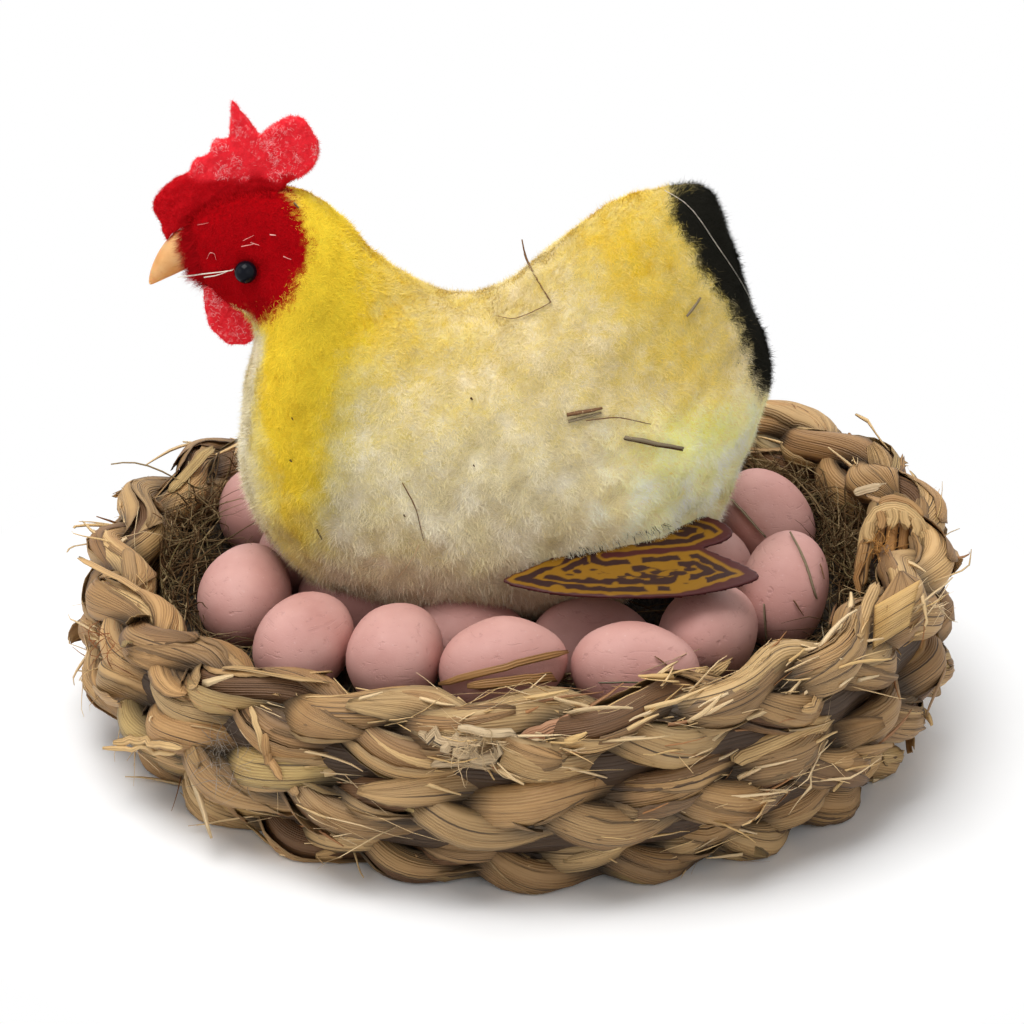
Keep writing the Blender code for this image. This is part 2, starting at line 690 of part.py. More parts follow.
def make_felt(beak_socket):
    """The comb and the wattles, trimmed round the beak, and the slots that they are glued into."""
    pieces = [("comb", COMB_OUTLINE, COMB_LENGTH, COMB_HEIGHT, comb_place())]
    for name, side in (("wattle_left", -1), ("wattle_right", 1)):
        pieces.append((name, WATTLE_OUTLINE, WATTLE_LENGTH, WATTLE_HEIGHT, wattle_place(side)))
    slots = []
    for name, outline, length, height, place in pieces:
        shape = smooth_outline(outline, length, height)
        felt = make_object(name, plate_mesh(shape, FELT_THICKNESS, place), "red_felt", smooth=40)
        cut(felt, [beak_socket])
        wide = FELT_THICKNESS + 2 * CLEARANCE
        slots.append(make_cutter("slot_" + name, plate_mesh(grown_outline(shape, CLEARANCE), wide, place)))
    return slots


# The wing in plan: along the hen towards the tail, and outwards from its inner edge. Two long rounded lobes.
WING_OUTLINE = (
    (0.000, 0.84, 0), (0.105, 0.93, 0), (0.240, 0.985, 0), (0.440, 1.00, 0), (0.690, 0.97, 0), (0.860, 0.88, 0),
    (0.965, 0.79, 0), (1.000, 0.72, 0), (0.955, 0.62, 0), (0.865, 0.51, 0), (0.780, 0.41, 1), (0.865, 0.33, 0),
    (0.905, 0.25, 0), (0.900, 0.17, 0), (0.850, 0.08, 0), (0.770, 0.03, 0), (0.650, 0.02, 0), (0.500, 0.15, 0),
    (0.300, 0.42, 0), (0.100, 0.70, 0),
)


def wing_place(side, eggs):
    """Where a wing leaves the flank: against the skin, or higher where it has to lie on the eggs."""
    here, _, _ = skin_frame(WING_STATION, math.radians(WING_ANGLE) * side)
    fall = math.tan(math.radians(WING_TILT))
    for egg in eggs:
        shell = egg_mesh(egg)
        for vert in shell.verts:
            out = side * (vert.co.y - here.y)
            ahead = vert.co.x - here.x + WING_LENGTH * WING_AHEAD
            if 0 < ahead < WING_LENGTH and WING_PROUD - WING_WIDTH < out < WING_PROUD:
                here.z = max(here.z, vert.co.z + out * fall + WING_THICKNESS / 2 + 2 * CLEARANCE)
        shell.free()
    return here


def wing_mesh(here, side, grow=0.0):
    """A thin sheet that is tucked under the flank and falls a little outwards."""
    outline = smooth_outline(WING_OUTLINE, WING_LENGTH, WING_WIDTH, steps=2)
    if grow:
        outline = grown_outline(outline, grow)
    fall = math.tan(math.radians(WING_TILT))
    half = WING_THICKNESS / 2 + grow
    mesh_edit = bmesh.new()
    faces = []
    for rise in (-half, half):
        face = []
        for along, out in outline:
            out += WING_PROUD - WING_WIDTH
            x = here.x + along - WING_LENGTH * WING_AHEAD
            face.append(mesh_edit.verts.new((x, here.y + side * out, here.z - out * fall + rise)))
        faces.append(face)
    count = len(outline)
    for index in range(count):
        after = (index + 1) % count
        mesh_edit.faces.new((faces[0][index], faces[0][after], faces[1][after], faces[1][index]))
    mesh_edit.faces.new(faces[0])
    mesh_edit.faces.new(list(reversed(faces[1])))
    return mesh_edit


def make_wings(eggs):
    """The wings, and the slots in the flanks that they are tucked into."""
    slots = []
    for name, side in (("wing_left", -1), ("wing_right", 1)):
        here = wing_place(side, eggs)
        make_object(name, wing_mesh(here, side), "printed_wing", smooth=40)
        slots.append(make_cutter("slot_" + name, wing_mesh(here, side, CLEARANCE)))
    return slots


def build():
    clear_scene()
    rows = [make_row(row) for row in range(len(ROW_NAMES))]
    make_mat()
    make_object("rope_end", rope_end_mesh(), "husk_rope")
    cut(rows[-1], [make_cutter("socket_rope_end", rope_end_socket())])
    bed = make_bed()

    eggs = settle_eggs()
    cups = []
    for number, egg in enumerate(eggs, start=1):
        name = "egg_%02d" % number
        make_object(name, egg_mesh(egg), "pink_egg")
        cups.append(make_cutter("cup_" + name, egg_mesh(egg, CLEARANCE)))

    body = make_body()
    beak_socket = make_cutter("socket_beak", beak_mesh(CLEARANCE))
    make_object("beak", beak_mesh(), "beak_plastic")
    cut(body, cups + make_felt(beak_socket) + make_eyes() + make_wings(eggs) + [beak_socket])
    cut(bed, cups)


build()
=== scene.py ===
# %% [markdown]
# # A flocked hen on pink eggs, in a nest of braided husk rope
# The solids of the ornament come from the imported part, and this script dresses them: flock on the hen,
# felt for the comb, husk leaves on the rope, hay round the eggs. Everything is in metres, with +Z up,
# and the hen looks towards -X.

# %% Load the part
import math

import bmesh
import bpy
import numpy as np
from mathutils import Matrix, Vector
from mathutils.bvhtree import BVHTree


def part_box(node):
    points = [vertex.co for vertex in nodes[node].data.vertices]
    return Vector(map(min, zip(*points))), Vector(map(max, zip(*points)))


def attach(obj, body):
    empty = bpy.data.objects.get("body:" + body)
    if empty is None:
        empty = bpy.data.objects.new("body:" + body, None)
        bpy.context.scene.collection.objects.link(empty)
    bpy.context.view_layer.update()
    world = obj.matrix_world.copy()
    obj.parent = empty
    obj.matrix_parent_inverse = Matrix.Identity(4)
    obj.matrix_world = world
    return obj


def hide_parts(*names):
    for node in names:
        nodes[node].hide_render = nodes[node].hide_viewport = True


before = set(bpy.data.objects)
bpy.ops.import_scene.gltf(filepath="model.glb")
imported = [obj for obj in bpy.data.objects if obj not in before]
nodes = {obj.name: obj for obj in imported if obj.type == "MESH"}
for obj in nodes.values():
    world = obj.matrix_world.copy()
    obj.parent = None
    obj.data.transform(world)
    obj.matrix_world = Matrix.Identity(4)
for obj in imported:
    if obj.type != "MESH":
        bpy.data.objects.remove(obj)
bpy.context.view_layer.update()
bpy.ops.object.select_all(action="DESELECT")
print("CAD nodes:", len(nodes))

# %% [markdown]
# ## Camera, light and floor
# The photograph was taken a little from above with a long lens, so the camera stands 620 mm away, looks
# down 23.8 degrees and leans 1.3 degrees. The shop's light is soft and white: a bright world, one large
# lamp above the hen's breast with three weaker lamps round it, and a floor that fades to plain white behind
# the shadow.

# %% Camera
MM = 0.001
CAMERA_AWAY = 0.620
CAMERA_DOWN = math.radians(23.8)
CAMERA_ROLL = math.radians(1.33)
CAMERA_AIM = Vector((-1.25, 0.0, 39.7)) * MM
PIXEL_AT_AIM = 0.183 * MM

ahead = Vector((0.0, math.cos(CAMERA_DOWN), -math.sin(CAMERA_DOWN)))
across = Vector((1.0, 0.0, 0.0))
above = across.cross(ahead)
right_side = across * math.cos(CAMERA_ROLL) + above * math.sin(CAMERA_ROLL)
up_side = above * math.cos(CAMERA_ROLL) - across * math.sin(CAMERA_ROLL)
bpy.ops.object.camera_add(location=CAMERA_AIM - ahead * CAMERA_AWAY)
camera = bpy.context.object
camera.matrix_world = (Matrix.Translation(CAMERA_AIM - ahead * CAMERA_AWAY)
                       @ Matrix((right_side, up_side, -ahead)).transposed().to_4x4())
camera.data.sensor_width = 36.0
camera.data.lens = 36.0 * CAMERA_AWAY / (1024 * PIXEL_AT_AIM)
camera.data.clip_start = 0.01
bpy.context.scene.camera = camera
print("lens mm:", round(camera.data.lens, 1))

# %% [markdown]
# ## Small tools for materials
# Shader maths reads best as plain sums, so a socket is wrapped in a class that turns +, - and * into
# Math nodes. Any other node comes from one method that takes its type, its settings and its inputs.


# %% Node tools
class Wire:
    """An output socket that can be used in sums."""

    def __init__(self, paint, socket):
        self.paint = paint
        self.socket = socket

    def math(self, operation, *others):
        return self.paint.node("ShaderNodeMath", {"operation": operation}, [self, *others])

    def __add__(self, other):
        return self.math("ADD", other)

    def __sub__(self, other):
        return self.math("SUBTRACT", other)

    def __rsub__(self, other):
        return self.paint.node("ShaderNodeMath", {"operation": "SUBTRACT"}, [other, self])

    def __mul__(self, other):
        return self.math("MULTIPLY", other)

    __radd__ = __add__
    __rmul__ = __mul__


class Paint:
    """One material, its shader and the nodes that feed it."""

    def __init__(self, name, roughness=0.8, **fixed):
        self.material = bpy.data.materials.new(name)
        self.material.use_nodes = True
        self.tree = self.material.node_tree
        self.shader = self.tree.nodes["Principled BSDF"]
        self.shader.inputs["Roughness"].default_value = roughness
        for socket, value in fixed.items():
            self.shader.inputs[socket.replace("_", " ")].default_value = value

    def node(self, kind, settings, inputs, output=0):
        made = self.tree.nodes.new(kind)
        for setting, value in settings.items():
            setattr(made, setting, value)
        pairs = inputs.items() if isinstance(inputs, dict) else enumerate(inputs)
        for socket, value in pairs:
            if isinstance(value, Wire):
                self.tree.links.new(value.socket, made.inputs[socket])
            else:
                made.inputs[socket].default_value = value
        return Wire(self, made.outputs[output])

    def feed(self, socket, wire):
        self.tree.links.new(wire.socket, self.shader.inputs[socket])

    def noise(self, where, scale, detail=3.0, rough=0.5):
        return self.node("ShaderNodeTexNoise", {}, {"Vector": where, "Scale": scale, "Detail": detail,
                                                   "Roughness": rough})

    def places(self):
        return self.node("ShaderNodeTexCoord", {}, {}, "Object")

    def mapped(self, where, scale):
        return self.node("ShaderNodeMapping", {}, {"Vector": where, "Scale": scale})

    def step(self, wire, low, high):
        return self.node("ShaderNodeMapRange", {}, {"Value": wire, "From Min": low, "From Max": high})

    def mix(self, factor, first, second, blend="MIX"):
        return self.node("ShaderNodeMix", {"data_type": "RGBA", "blend_type": blend},
                         {0: factor, 6: first, 7: second}, 2)

    def darker(self, wire, share):
        return self.mix(1.0, wire, (*share, 1.0), "MULTIPLY")

    def bump(self, height, distance, strength):
        self.feed("Normal", self.node("ShaderNodeBump", {}, {"Height": height, "Distance": distance,
                                                           "Strength": strength}))


def rgb(red, green, blue):
    """A colour as a screen shows it, 0 to 255, in the linear numbers that Blender mixes."""
    parts = []
    for value in (red, green, blue):
        share = value / 255
        parts.append(share / 12.92 if share <= 0.04045 else ((share + 0.055) / 1.055) ** 2.4)
    return tuple(parts)


def rgba(red, green, blue):
    return (*rgb(red, green, blue), 1.0)


def colour(red, green, blue):
    """The same, as a row that can be mixed with rows of colours."""
    return np.array(rgb(red, green, blue))


# %% [markdown]
# The white background is only what the camera sees of the world: Light Path tells those rays from the light
# that falls on things. The floor keeps the shadow near the nest and turns plain white farther out.

# %% Light and floor
WORLD_LEVEL = 0.40
WHITE = (1.0, 1.0, 1.0, 1.0)
FLOOR_WHITE = (0.93, 0.93, 0.93, 1.0)
SHADOW_FADES = (0.075, 0.130)
world = bpy.data.worlds.new("studio")
world.use_nodes = True
bpy.context.scene.world = world
sky = world.node_tree.nodes["Background"]
sky.inputs["Color"].default_value = WHITE


def seen_or_mirrored(tree):
    """1 for rays from the camera and for mirror or glass rays, 0 for the light that falls on things."""
    rays = tree.nodes.new("ShaderNodeLightPath")
    total = rays.outputs["Is Camera Ray"]
    for name in ("Is Glossy Ray", "Is Transmission Ray"):
        both = tree.nodes.new("ShaderNodeMath")
        both.operation = "MAXIMUM"
        tree.links.new(total, both.inputs[0])
        tree.links.new(rays.outputs[name], both.inputs[1])
        total = both.outputs[0]
    return total


level = world.node_tree.nodes.new("ShaderNodeMapRange")
level.inputs["To Min"].default_value = WORLD_LEVEL
world.node_tree.links.new(seen_or_mirrored(world.node_tree), level.inputs["Value"])
world.node_tree.links.new(level.outputs[0], sky.inputs["Strength"])


def add_lamp(name, place, size, watts):
    bpy.ops.object.light_add(type="AREA", location=place)
    lamp = bpy.context.object
    lamp.name = name
    lamp.data.size = size
    lamp.data.energy = watts
    lamp.rotation_euler = (CAMERA_AIM - Vector(place)).to_track_quat("-Z", "Y").to_euler()


add_lamp("key_softbox", (-0.20, -0.16, 0.92), 0.60, 7.6)
add_lamp("fill_softbox", (0.45, -0.80, 0.45), 0.70, 1.0)
add_lamp("left_softbox", (-0.85, -0.35, 0.35), 0.60, 1.2)
add_lamp("back_softbox", (0.20, 0.75, 0.75), 0.60, 2.5)

bpy.ops.mesh.primitive_plane_add(size=6.0, location=(0.0, 0.0, -0.0002))
floor = bpy.context.object
floor.name = "floor"
floor_paint = Paint("floor_white", roughness=0.9)
floor_paint.shader.inputs["Base Color"].default_value = FLOOR_WHITE
glow = floor_paint.node("ShaderNodeEmission", {}, {"Color": WHITE, "Strength": 1.0})
reach = floor_paint.node("ShaderNodeVectorMath", {"operation": "LENGTH"}, [floor_paint.places()], "Value")
fade = floor_paint.step(reach, *SHADOW_FADES)
whiten = Wire(floor_paint, seen_or_mirrored(floor_paint.tree)) * fade
matt = Wire(floor_paint, floor_paint.shader.outputs[0])
blend = floor_paint.node("ShaderNodeMixShader", {}, [whiten, matt, glow])
floor_paint.tree.links.new(blend.socket, floor_paint.tree.nodes["Material Output"].inputs["Surface"])
floor.data.materials.append(floor_paint.material)
bpy.context.scene.view_settings.view_transform = "Standard"

# %% [markdown]
# ## Small tools for meshes
# Fibres, husk leaves and straws come by the thousand, and no operator lays one of them. They are worked
# out as arrays and turned into one mesh for each piece, with a colour for each point.


# %% Mesh tools
ROOT_SHADE = 0.93
TIP_LIGHT = 1.04


def unit(rows):
    return rows / np.maximum(np.linalg.norm(rows, axis=-1, keepdims=True), 1e-12)


def waves(points, size, seed):
    """Smooth noise: waves of about one size in random directions, added up. About -2 to 2, mean 0."""
    count = 12
    dice = np.random.default_rng(seed)
    ways = unit(dice.normal(size=(count, 3))) * (2 * math.pi / size) * dice.uniform(0.55, 1.5, (count, 1))
    return np.cos(points @ ways.T + dice.uniform(0, 2 * math.pi, count)).sum(axis=-1) * math.sqrt(2 / count)


def smooth_step(low, high, value):
    share = np.clip((value - low) / (high - low), 0.0, 1.0)
    return share * share * (3 - 2 * share)


def blend_colours(first, second, share):
    return first + (np.asarray(second) - first) * share[..., None]


def colour_points(mesh, tints):
    """Store a colour for each point, which a finish reads back as the attribute tint."""
    layer = mesh.color_attributes.new("tint", "FLOAT_COLOR", "POINT")
    full = np.ones((len(tints), 4), dtype=np.float32)
    full[:, :3] = np.clip(tints, 0.0, 1.0)
    layer.data.foreach_set("color", full.ravel())


def add_piece(name, points, faces, material, tints, maps):
    """A mesh object from arrays. Faces are rows of three or four corners; maps are UV rows for each point."""
    mesh = bpy.data.meshes.new(name)
    sides = faces.shape[1]
    mesh.vertices.add(len(points))
    mesh.vertices.foreach_set("co", np.ascontiguousarray(points, dtype=np.float32).ravel())
    mesh.loops.add(faces.size)
    mesh.loops.foreach_set("vertex_index", np.ascontiguousarray(faces, dtype=np.int32).ravel())
    mesh.polygons.add(len(faces))
    mesh.polygons.foreach_set("loop_start", np.arange(0, faces.size, sides, dtype=np.int32))
    mesh.update(calc_edges=True)
    mesh.polygons.foreach_set("use_smooth", np.full(len(faces), True))
    for map_name, rows in maps.items():
        layer = mesh.uv_layers.new(name=map_name)
        layer.data.foreach_set("uv", np.ascontiguousarray(rows[faces.ravel()], dtype=np.float32).ravel())
    colour_points(mesh, tints)
    mesh.materials.append(material)
    piece = bpy.data.objects.new(name, mesh)
    bpy.context.scene.collection.objects.link(piece)
    return piece


def triangles_of(piece):
    piece.data.calc_loop_triangles()
    return len(piece.data.loop_triangles)


def ops_copy(node_name, name):
    """A CAD node's copy with its loose triangles merged, selected and ready for operators."""
    source = nodes[node_name]
    piece = bpy.data.objects.new(name, source.data.copy())
    bpy.context.scene.collection.objects.link(piece)
    piece.data.materials.clear()
    bpy.ops.object.select_all(action="DESELECT")
    piece.select_set(True)
    bpy.context.view_layer.objects.active = piece
    bpy.ops.object.mode_set(mode="EDIT")
    bpy.ops.mesh.select_all(action="SELECT")
    bpy.ops.mesh.remove_doubles(threshold=1e-6)
    bpy.ops.object.mode_set(mode="OBJECT")
    return piece


def apply_modifier(piece, kind, **settings):
    bpy.context.view_layer.objects.active = piece
    bpy.ops.object.modifier_add(type=kind)
    modifier = piece.modifiers[-1]
    for setting, value in settings.items():
        setattr(modifier, setting, value)
    bpy.ops.object.modifier_apply(modifier=modifier.name)


def remesh_soft(piece, voxel, rounds):
    """Even, rounded skin over a copied solid: voxels of one size, then some rounds of smoothing."""
    apply_modifier(piece, "REMESH", mode="VOXEL", voxel_size=voxel, use_smooth_shade=True)
    apply_modifier(piece, "SMOOTH", factor=0.5, iterations=rounds)


def points_of(piece, kind="co"):
    rows = np.empty(len(piece.data.vertices) * 3, dtype=np.float32)
    piece.data.vertices.foreach_get(kind, rows)
    return rows.reshape(-1, 3).astype(float)


def normals_of(piece):
    return points_of(piece, "normal")


def move_points(piece, rows):
    piece.data.vertices.foreach_set("co", rows.astype(np.float32).ravel())
    piece.data.update()


def scatter(piece, count, seed):
    """Random places on a mesh, even by area, with the smoothed normal at each."""
    piece.data.calc_loop_triangles()
    corners = np.empty(len(piece.data.loop_triangles) * 3, dtype=np.int32)
    piece.data.loop_triangles.foreach_get("vertices", corners)
    corners = corners.reshape(-1, 3)
    points, normals = points_of(piece), normals_of(piece)
    a, b, c = (points[corners[:, k]] for k in range(3))
    area = np.linalg.norm(np.cross(b - a, c - a), axis=1)
    dice = np.random.default_rng(seed)
    picked = dice.choice(len(corners), size=count, p=area / area.sum())
    weights = dice.dirichlet((1.0, 1.0, 1.0), size=count)
    places = (points[corners[picked]] * weights[:, :, None]).sum(axis=1)
    facing = unit((normals[corners[picked]] * weights[:, :, None]).sum(axis=1))
    return places, facing


def patch_cells(places):
    """Lower corners and size of one small square of the UV map for each place, neighbours kept together."""
    count = len(places)
    columns = math.ceil(math.sqrt(count))
    by_x = np.argsort(places[:, 0], kind="stable")
    cells = np.empty((count, 2))
    for column in range(columns):
        members = by_x[column * columns:(column + 1) * columns]
        order = members[np.argsort(places[members, 2], kind="stable")]
        cells[order, 0] = column
        cells[order, 1] = np.arange(len(order))
    return cells / columns, 1 / columns


def add_fibres(name, roots, facing, flow, lean, length, width, tints, material, seed, swirl=0.55):
    """Short fibres, one slim triangle each, that stand on a skin and lean along a flow, more or less."""
    dice = np.random.default_rng(seed)
    count = len(roots)
    tangent = unit(flow - facing * (flow * facing).sum(axis=1, keepdims=True))
    side = np.cross(facing, tangent)
    turn = dice.normal(0.0, swirl, count)[:, None]
    along = tangent * np.cos(turn) + side * np.sin(turn)
    side = np.cross(facing, along)
    way = facing * np.cos(lean)[:, None] + along * np.sin(lean)[:, None]
    half = side * width[:, None] / 2
    tips = roots + way * length[:, None]
    points = np.stack((roots - half, roots + half, tips), axis=1)
    corner_tints = np.stack((tints * ROOT_SHADE, tints * ROOT_SHADE, tints * TIP_LIGHT), axis=1)
    cells, size = patch_cells(roots)
    spots = np.array(((0.15, 0.15), (0.85, 0.15), (0.5, 0.85))) * size
    maps = {"OFBake": (cells[:, None, :] + spots[None]).reshape(-1, 2)}
    faces = np.arange(count * 3).reshape(-1, 3)
    return add_piece(name, points.reshape(-1, 3), faces, material, corner_tints.reshape(-1, 3), maps)


def add_reeds(name, paths, widths, flat, tints, material, taper=(0.55, 1.0, 0.25)):
    """Straws, slivers and threads: three-sided tubes along rows of points, slimmer at their ends."""
    count, steps, _ = paths.shape
    ahead_ways = unit(np.gradient(paths, axis=1))
    dice = np.random.default_rng(len(name) + count)
    guide = unit(dice.normal(size=(count, 1, 3)) + 1e-3)
    side = unit(np.cross(ahead_ways, guide))
    rise = np.cross(side, ahead_ways)
    thickness = np.interp(np.linspace(0, 1, steps), (0.0, 0.3, 1.0), taper)
    half = widths[:, None, None] / 2 * thickness[None, :, None]
    ring = np.stack((paths - side * half, paths + side * half, paths + rise * half * flat * 2), axis=2)
    points = ring.reshape(-1, 3)
    base = (np.arange(count * steps) * 3).reshape(count, steps)
    near, far = base[:, :-1].ravel(), base[:, 1:].ravel()
    pairs = ((0, 1), (1, 2), (2, 0))
    faces = [np.stack((near + first, near + second, far + second), axis=1) for first, second in pairs]
    faces += [np.stack((near + first, far + second, far + first), axis=1) for first, second in pairs]
    faces += [base[:, :1] + (2, 1, 0), base[:, -1:] + (0, 1, 2)]
    triangles = np.concatenate(faces)
    cells, size = patch_cells(paths[:, 0])
    along = np.linspace(0.1, 0.9, steps)
    spots = np.stack(np.meshgrid(along, (0.15, 0.5, 0.85), indexing="ij"), axis=-1) * size
    maps = {"OFBake": (cells[:, None, None, :] + spots[None]).reshape(-1, 2)}
    point_tints = np.repeat(tints, steps * 3, axis=0)
    return add_piece(name, points, triangles, material, point_tints, maps)


def wander(starts, ways, lengths, steps, bend, seed):
    """Rows of points that start somewhere, head one way and bend at random."""
    dice = np.random.default_rng(seed)
    count = len(starts)
    curl = dice.normal(0.0, 1.0, (count, 1, 3)) * bend
    wobble = np.cumsum(dice.normal(0.0, 1.0, (count, steps, 3)) * bend * 0.35, axis=1)
    share = np.linspace(0, 1, steps)[None, :, None]
    heading = unit(ways[:, None, :] + curl * share + wobble)
    walk = heading * (lengths / (steps - 1))[:, None, None]
    so_far = np.concatenate((np.zeros((count, 1, 3)), np.cumsum(walk[:, :-1], axis=1)), axis=1)
    return starts[:, None, :] + so_far


def tree_of(piece):
    return BVHTree.FromObject(piece, bpy.context.evaluated_depsgraph_get())


def sight_way(stop):
    """The way from the camera through a place on the picture plane, in mm from its middle."""
    aim = CAMERA_AIM + right_side * float(stop[0]) * MM + up_side * float(stop[1]) * MM
    return (aim - camera.matrix_world.translation).normalized()


def seen(trees, stops):
    """Where sight lines first meet a surface, and how it faces. A line that misses takes its neighbour's."""
    start = camera.matrix_world.translation
    ways = [sight_way(stop) for stop in stops]
    found = []
    for way in ways:
        hits = [hit for hit in (tree.ray_cast(start, way) for tree in trees) if hit[0] is not None]
        found.append(min(hits, key=lambda hit: hit[3]) if hits else None)
    places, facing = [], []
    met = [k for k in range(len(found)) if found[k]]
    for index, way in enumerate(ways):
        near = min(met, key=lambda k: abs(k - index)) if met else None
        _, normal, _, distance = (None, -way, None, CAMERA_AWAY) if near is None else found[near]
        places.append(start + way * distance)
        facing.append(-normal if normal.dot(way) > 0 else normal)
    return np.array(places), np.array(facing)


def between_stops(stops, shares):
    """Places along a row of stops. A share of 1.5 is half-way from the second stop to the third."""
    stops = np.array(stops)
    return np.stack([np.interp(shares, np.arange(len(stops)), stops[:, k]) for k in (0, 1)], axis=1)


def laid_run(trees, stops, rise, steps=12, smooth=2):
    """A run of points that lies on what the camera sees there, a little above it."""
    places, facing = seen(trees, between_stops(stops, np.linspace(0, len(stops) - 1, steps)))
    for _ in range(smooth):
        places[1:-1] = (places[:-2] + 2 * places[1:-1] + places[2:]) / 4
    return places + facing * rise


# %% [markdown]
# ## Eggs
# The real eggs are light foam, dipped in dusty pink paint, with pits and scratches. The solid eggs of the
# part are coarse, so each one is made again from a sphere: stretched along its axis, tapered to its
# slim end and turned to lie where the coarse one lies.


# %% Eggshell paint
def egg_paint():
    paint = Paint("dusty_pink_shell", roughness=0.62)
    where = paint.places()
    cloud = paint.noise(where, 90.0, 3.0)
    speck = paint.step(paint.noise(where, 1500.0, 2.0), 0.66, 0.74)
    pits = paint.step(paint.noise(where, 620.0, 3.0, 0.6), 0.60, 0.72)
    scratch = paint.step(paint.noise(paint.mapped(where, (300.0, 90.0, 1900.0)), 1.0, 3.0), 0.63, 0.70)
    base = paint.mix(paint.step(cloud, 0.35, 0.68), rgba(190, 137, 128), rgba(206, 157, 148))
    base = paint.mix(pits * 0.22, base, rgba(160, 112, 108))
    base = paint.mix(scratch * 0.10, base, rgba(150, 104, 100))
    base = paint.mix(speck * 0.22, base, rgba(214, 184, 176))
    paint.feed("Base Color", base)
    fine = paint.noise(where, 2600.0, 2.0)
    paint.bump(cloud * 0.8 + fine * 0.12 - pits * 0.30 - scratch * 0.16, 0.00035, 0.7)
    return paint.material


shell_pink = egg_paint()


# %% [markdown]
# The coarse egg's points say where its two ends are, and the end that is wider round its middle is the blunt
# one. The new egg is made upright, then turned and moved there.


# %% Lay the eggs
EGG_NODES = sorted(name for name in nodes if name.startswith("egg_"))
EGG_TAPER = -0.14
EGG_WIDTH_SHARE = 0.985
EGG_UNEVEN = 0.00012


def pole_points(rows):
    """The two ends of an egg's long axis, the blunt one first."""
    middle = (rows.max(axis=0) + rows.min(axis=0)) / 2
    spread = rows - middle
    axis = np.linalg.svd(spread - spread.mean(axis=0), full_matrices=False)[2][0]
    along = spread @ axis
    first, second = rows[along.argmin()], rows[along.argmax()]
    away = np.linalg.norm(spread - np.outer(along, axis), axis=1)
    if away[along < 0].max() < away[along > 0].max():
        first, second = second, first
    return Vector(first), Vector(second), 2 * away.max()


def lay_egg(node_name):
    blunt, slim, width = pole_points(points_of(nodes[node_name]))
    length = (slim - blunt).length
    bpy.ops.mesh.primitive_uv_sphere_add(segments=40, ring_count=24, radius=0.5)
    egg = bpy.context.object
    egg.name = node_name + "_shell"
    bpy.ops.object.mode_set(mode="EDIT")
    bpy.ops.transform.resize(value=(width * EGG_WIDTH_SHARE, width * EGG_WIDTH_SHARE, length))
    bpy.ops.object.mode_set(mode="OBJECT")
    apply_modifier(egg, "SIMPLE_DEFORM", deform_method="TAPER", deform_axis="Z", factor=EGG_TAPER)
    egg.location = (blunt + slim) / 2
    egg.rotation_euler = (slim - blunt).to_track_quat("Z", "Y").to_euler()
    bpy.ops.object.transform_apply(location=True, rotation=True, scale=True)
    rows = points_of(egg)
    move_points(egg, rows + normals_of(egg) * waves(rows, 0.012, 5)[:, None] * EGG_UNEVEN)
    bpy.ops.object.shade_smooth()
    egg.data.materials.append(shell_pink)
    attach(egg, "root")
    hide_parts(node_name)
    return egg


egg_shells = [lay_egg(name) for name in EGG_NODES]
print("eggs:", len(egg_shells), "triangles each:", triangles_of(egg_shells[0]))

# %% [markdown]
# ## The hen's coat
# The real body is a smooth dummy under short flock, dyed in soft patches: red round the face, yellow down
# the neck and breast, cream on the flanks, yellow again with a black band on the tail. The skin is a
# remeshed copy of the solid, drawn in a little to leave room for the flock. One function gives the dye at
# any place, with painted shade and painted light laid over it, so skin and fibres always agree.

# %% Dye
FACE_EDGE = ((-44.9, 104.5), (-40.6, 99.7), (-37.5, 94.9), (-38.2, 90.1), (-41.0, 85.7), (-42.6, 82.4),
             (-46.7, 79.8), (-51.9, 80.0), (-57.4, 80.5), (-70.0, 80.0), (-70.0, 106.0), (-52.0, 108.0))
BAND_EDGE = ((25.2, 103.4), (25.4, 99.6), (28.6, 95.0), (31.4, 89.7), (35.6, 84.1), (38.0, 79.8),
             (39.8, 74.2), (42.6, 65.8), (50.0, 64.0), (52.0, 84.0), (40.0, 106.0), (30.5, 104.0))
# Each patch: its middle in x and z and its half-width and half-height, all in mm, and how yellow it is
YELLOW_PATCHES = (
    (-38.0, 90.0, 9.0, 15.0, 1.05), (-40.5, 68.0, 5.4, 17.0, 0.90), (-38.5, 47.0, 4.2, 12.0, 0.62),
    (-28.0, 82.0, 13.0, 13.0, 0.40), (19.0, 97.0, 12.0, 9.0, 0.66), (30.0, 78.0, 9.0, 11.0, 0.34),
    (12.0, 80.0, 20.0, 14.0, 0.16), (32.0, 58.0, 8.0, 9.0, 0.20), (-14.0, 84.0, 10.0, 8.0, 0.12),
    (2.0, 62.0, 22.0, 9.0, 0.10), (-18.0, 42.0, 8.0, 5.0, 0.16),
)
FACE_RED = colour(166, 8, 16)
BRIGHT_YELLOW = colour(240, 210, 58)
PALE_YELLOW = colour(232, 216, 134)
CREAM = colour(226, 214, 174)
WHITE_DOWN = colour(244, 236, 212)
SOOT = colour(33, 32, 27)
UPPER_SHADE = np.array((0.95, 0.89, 0.77))
BELLY_SHADE = colour(208, 188, 158)
FOLD_SHADE = 0.20
REAR_LIGHT = 1.46


def segment_distance(flat, start, along):
    """Distance from each flat point to one straight edge."""
    share = np.clip((flat - start) @ along / (along @ along), 0.0, 1.0)
    return np.linalg.norm(flat - start - share[:, None] * along, axis=1)


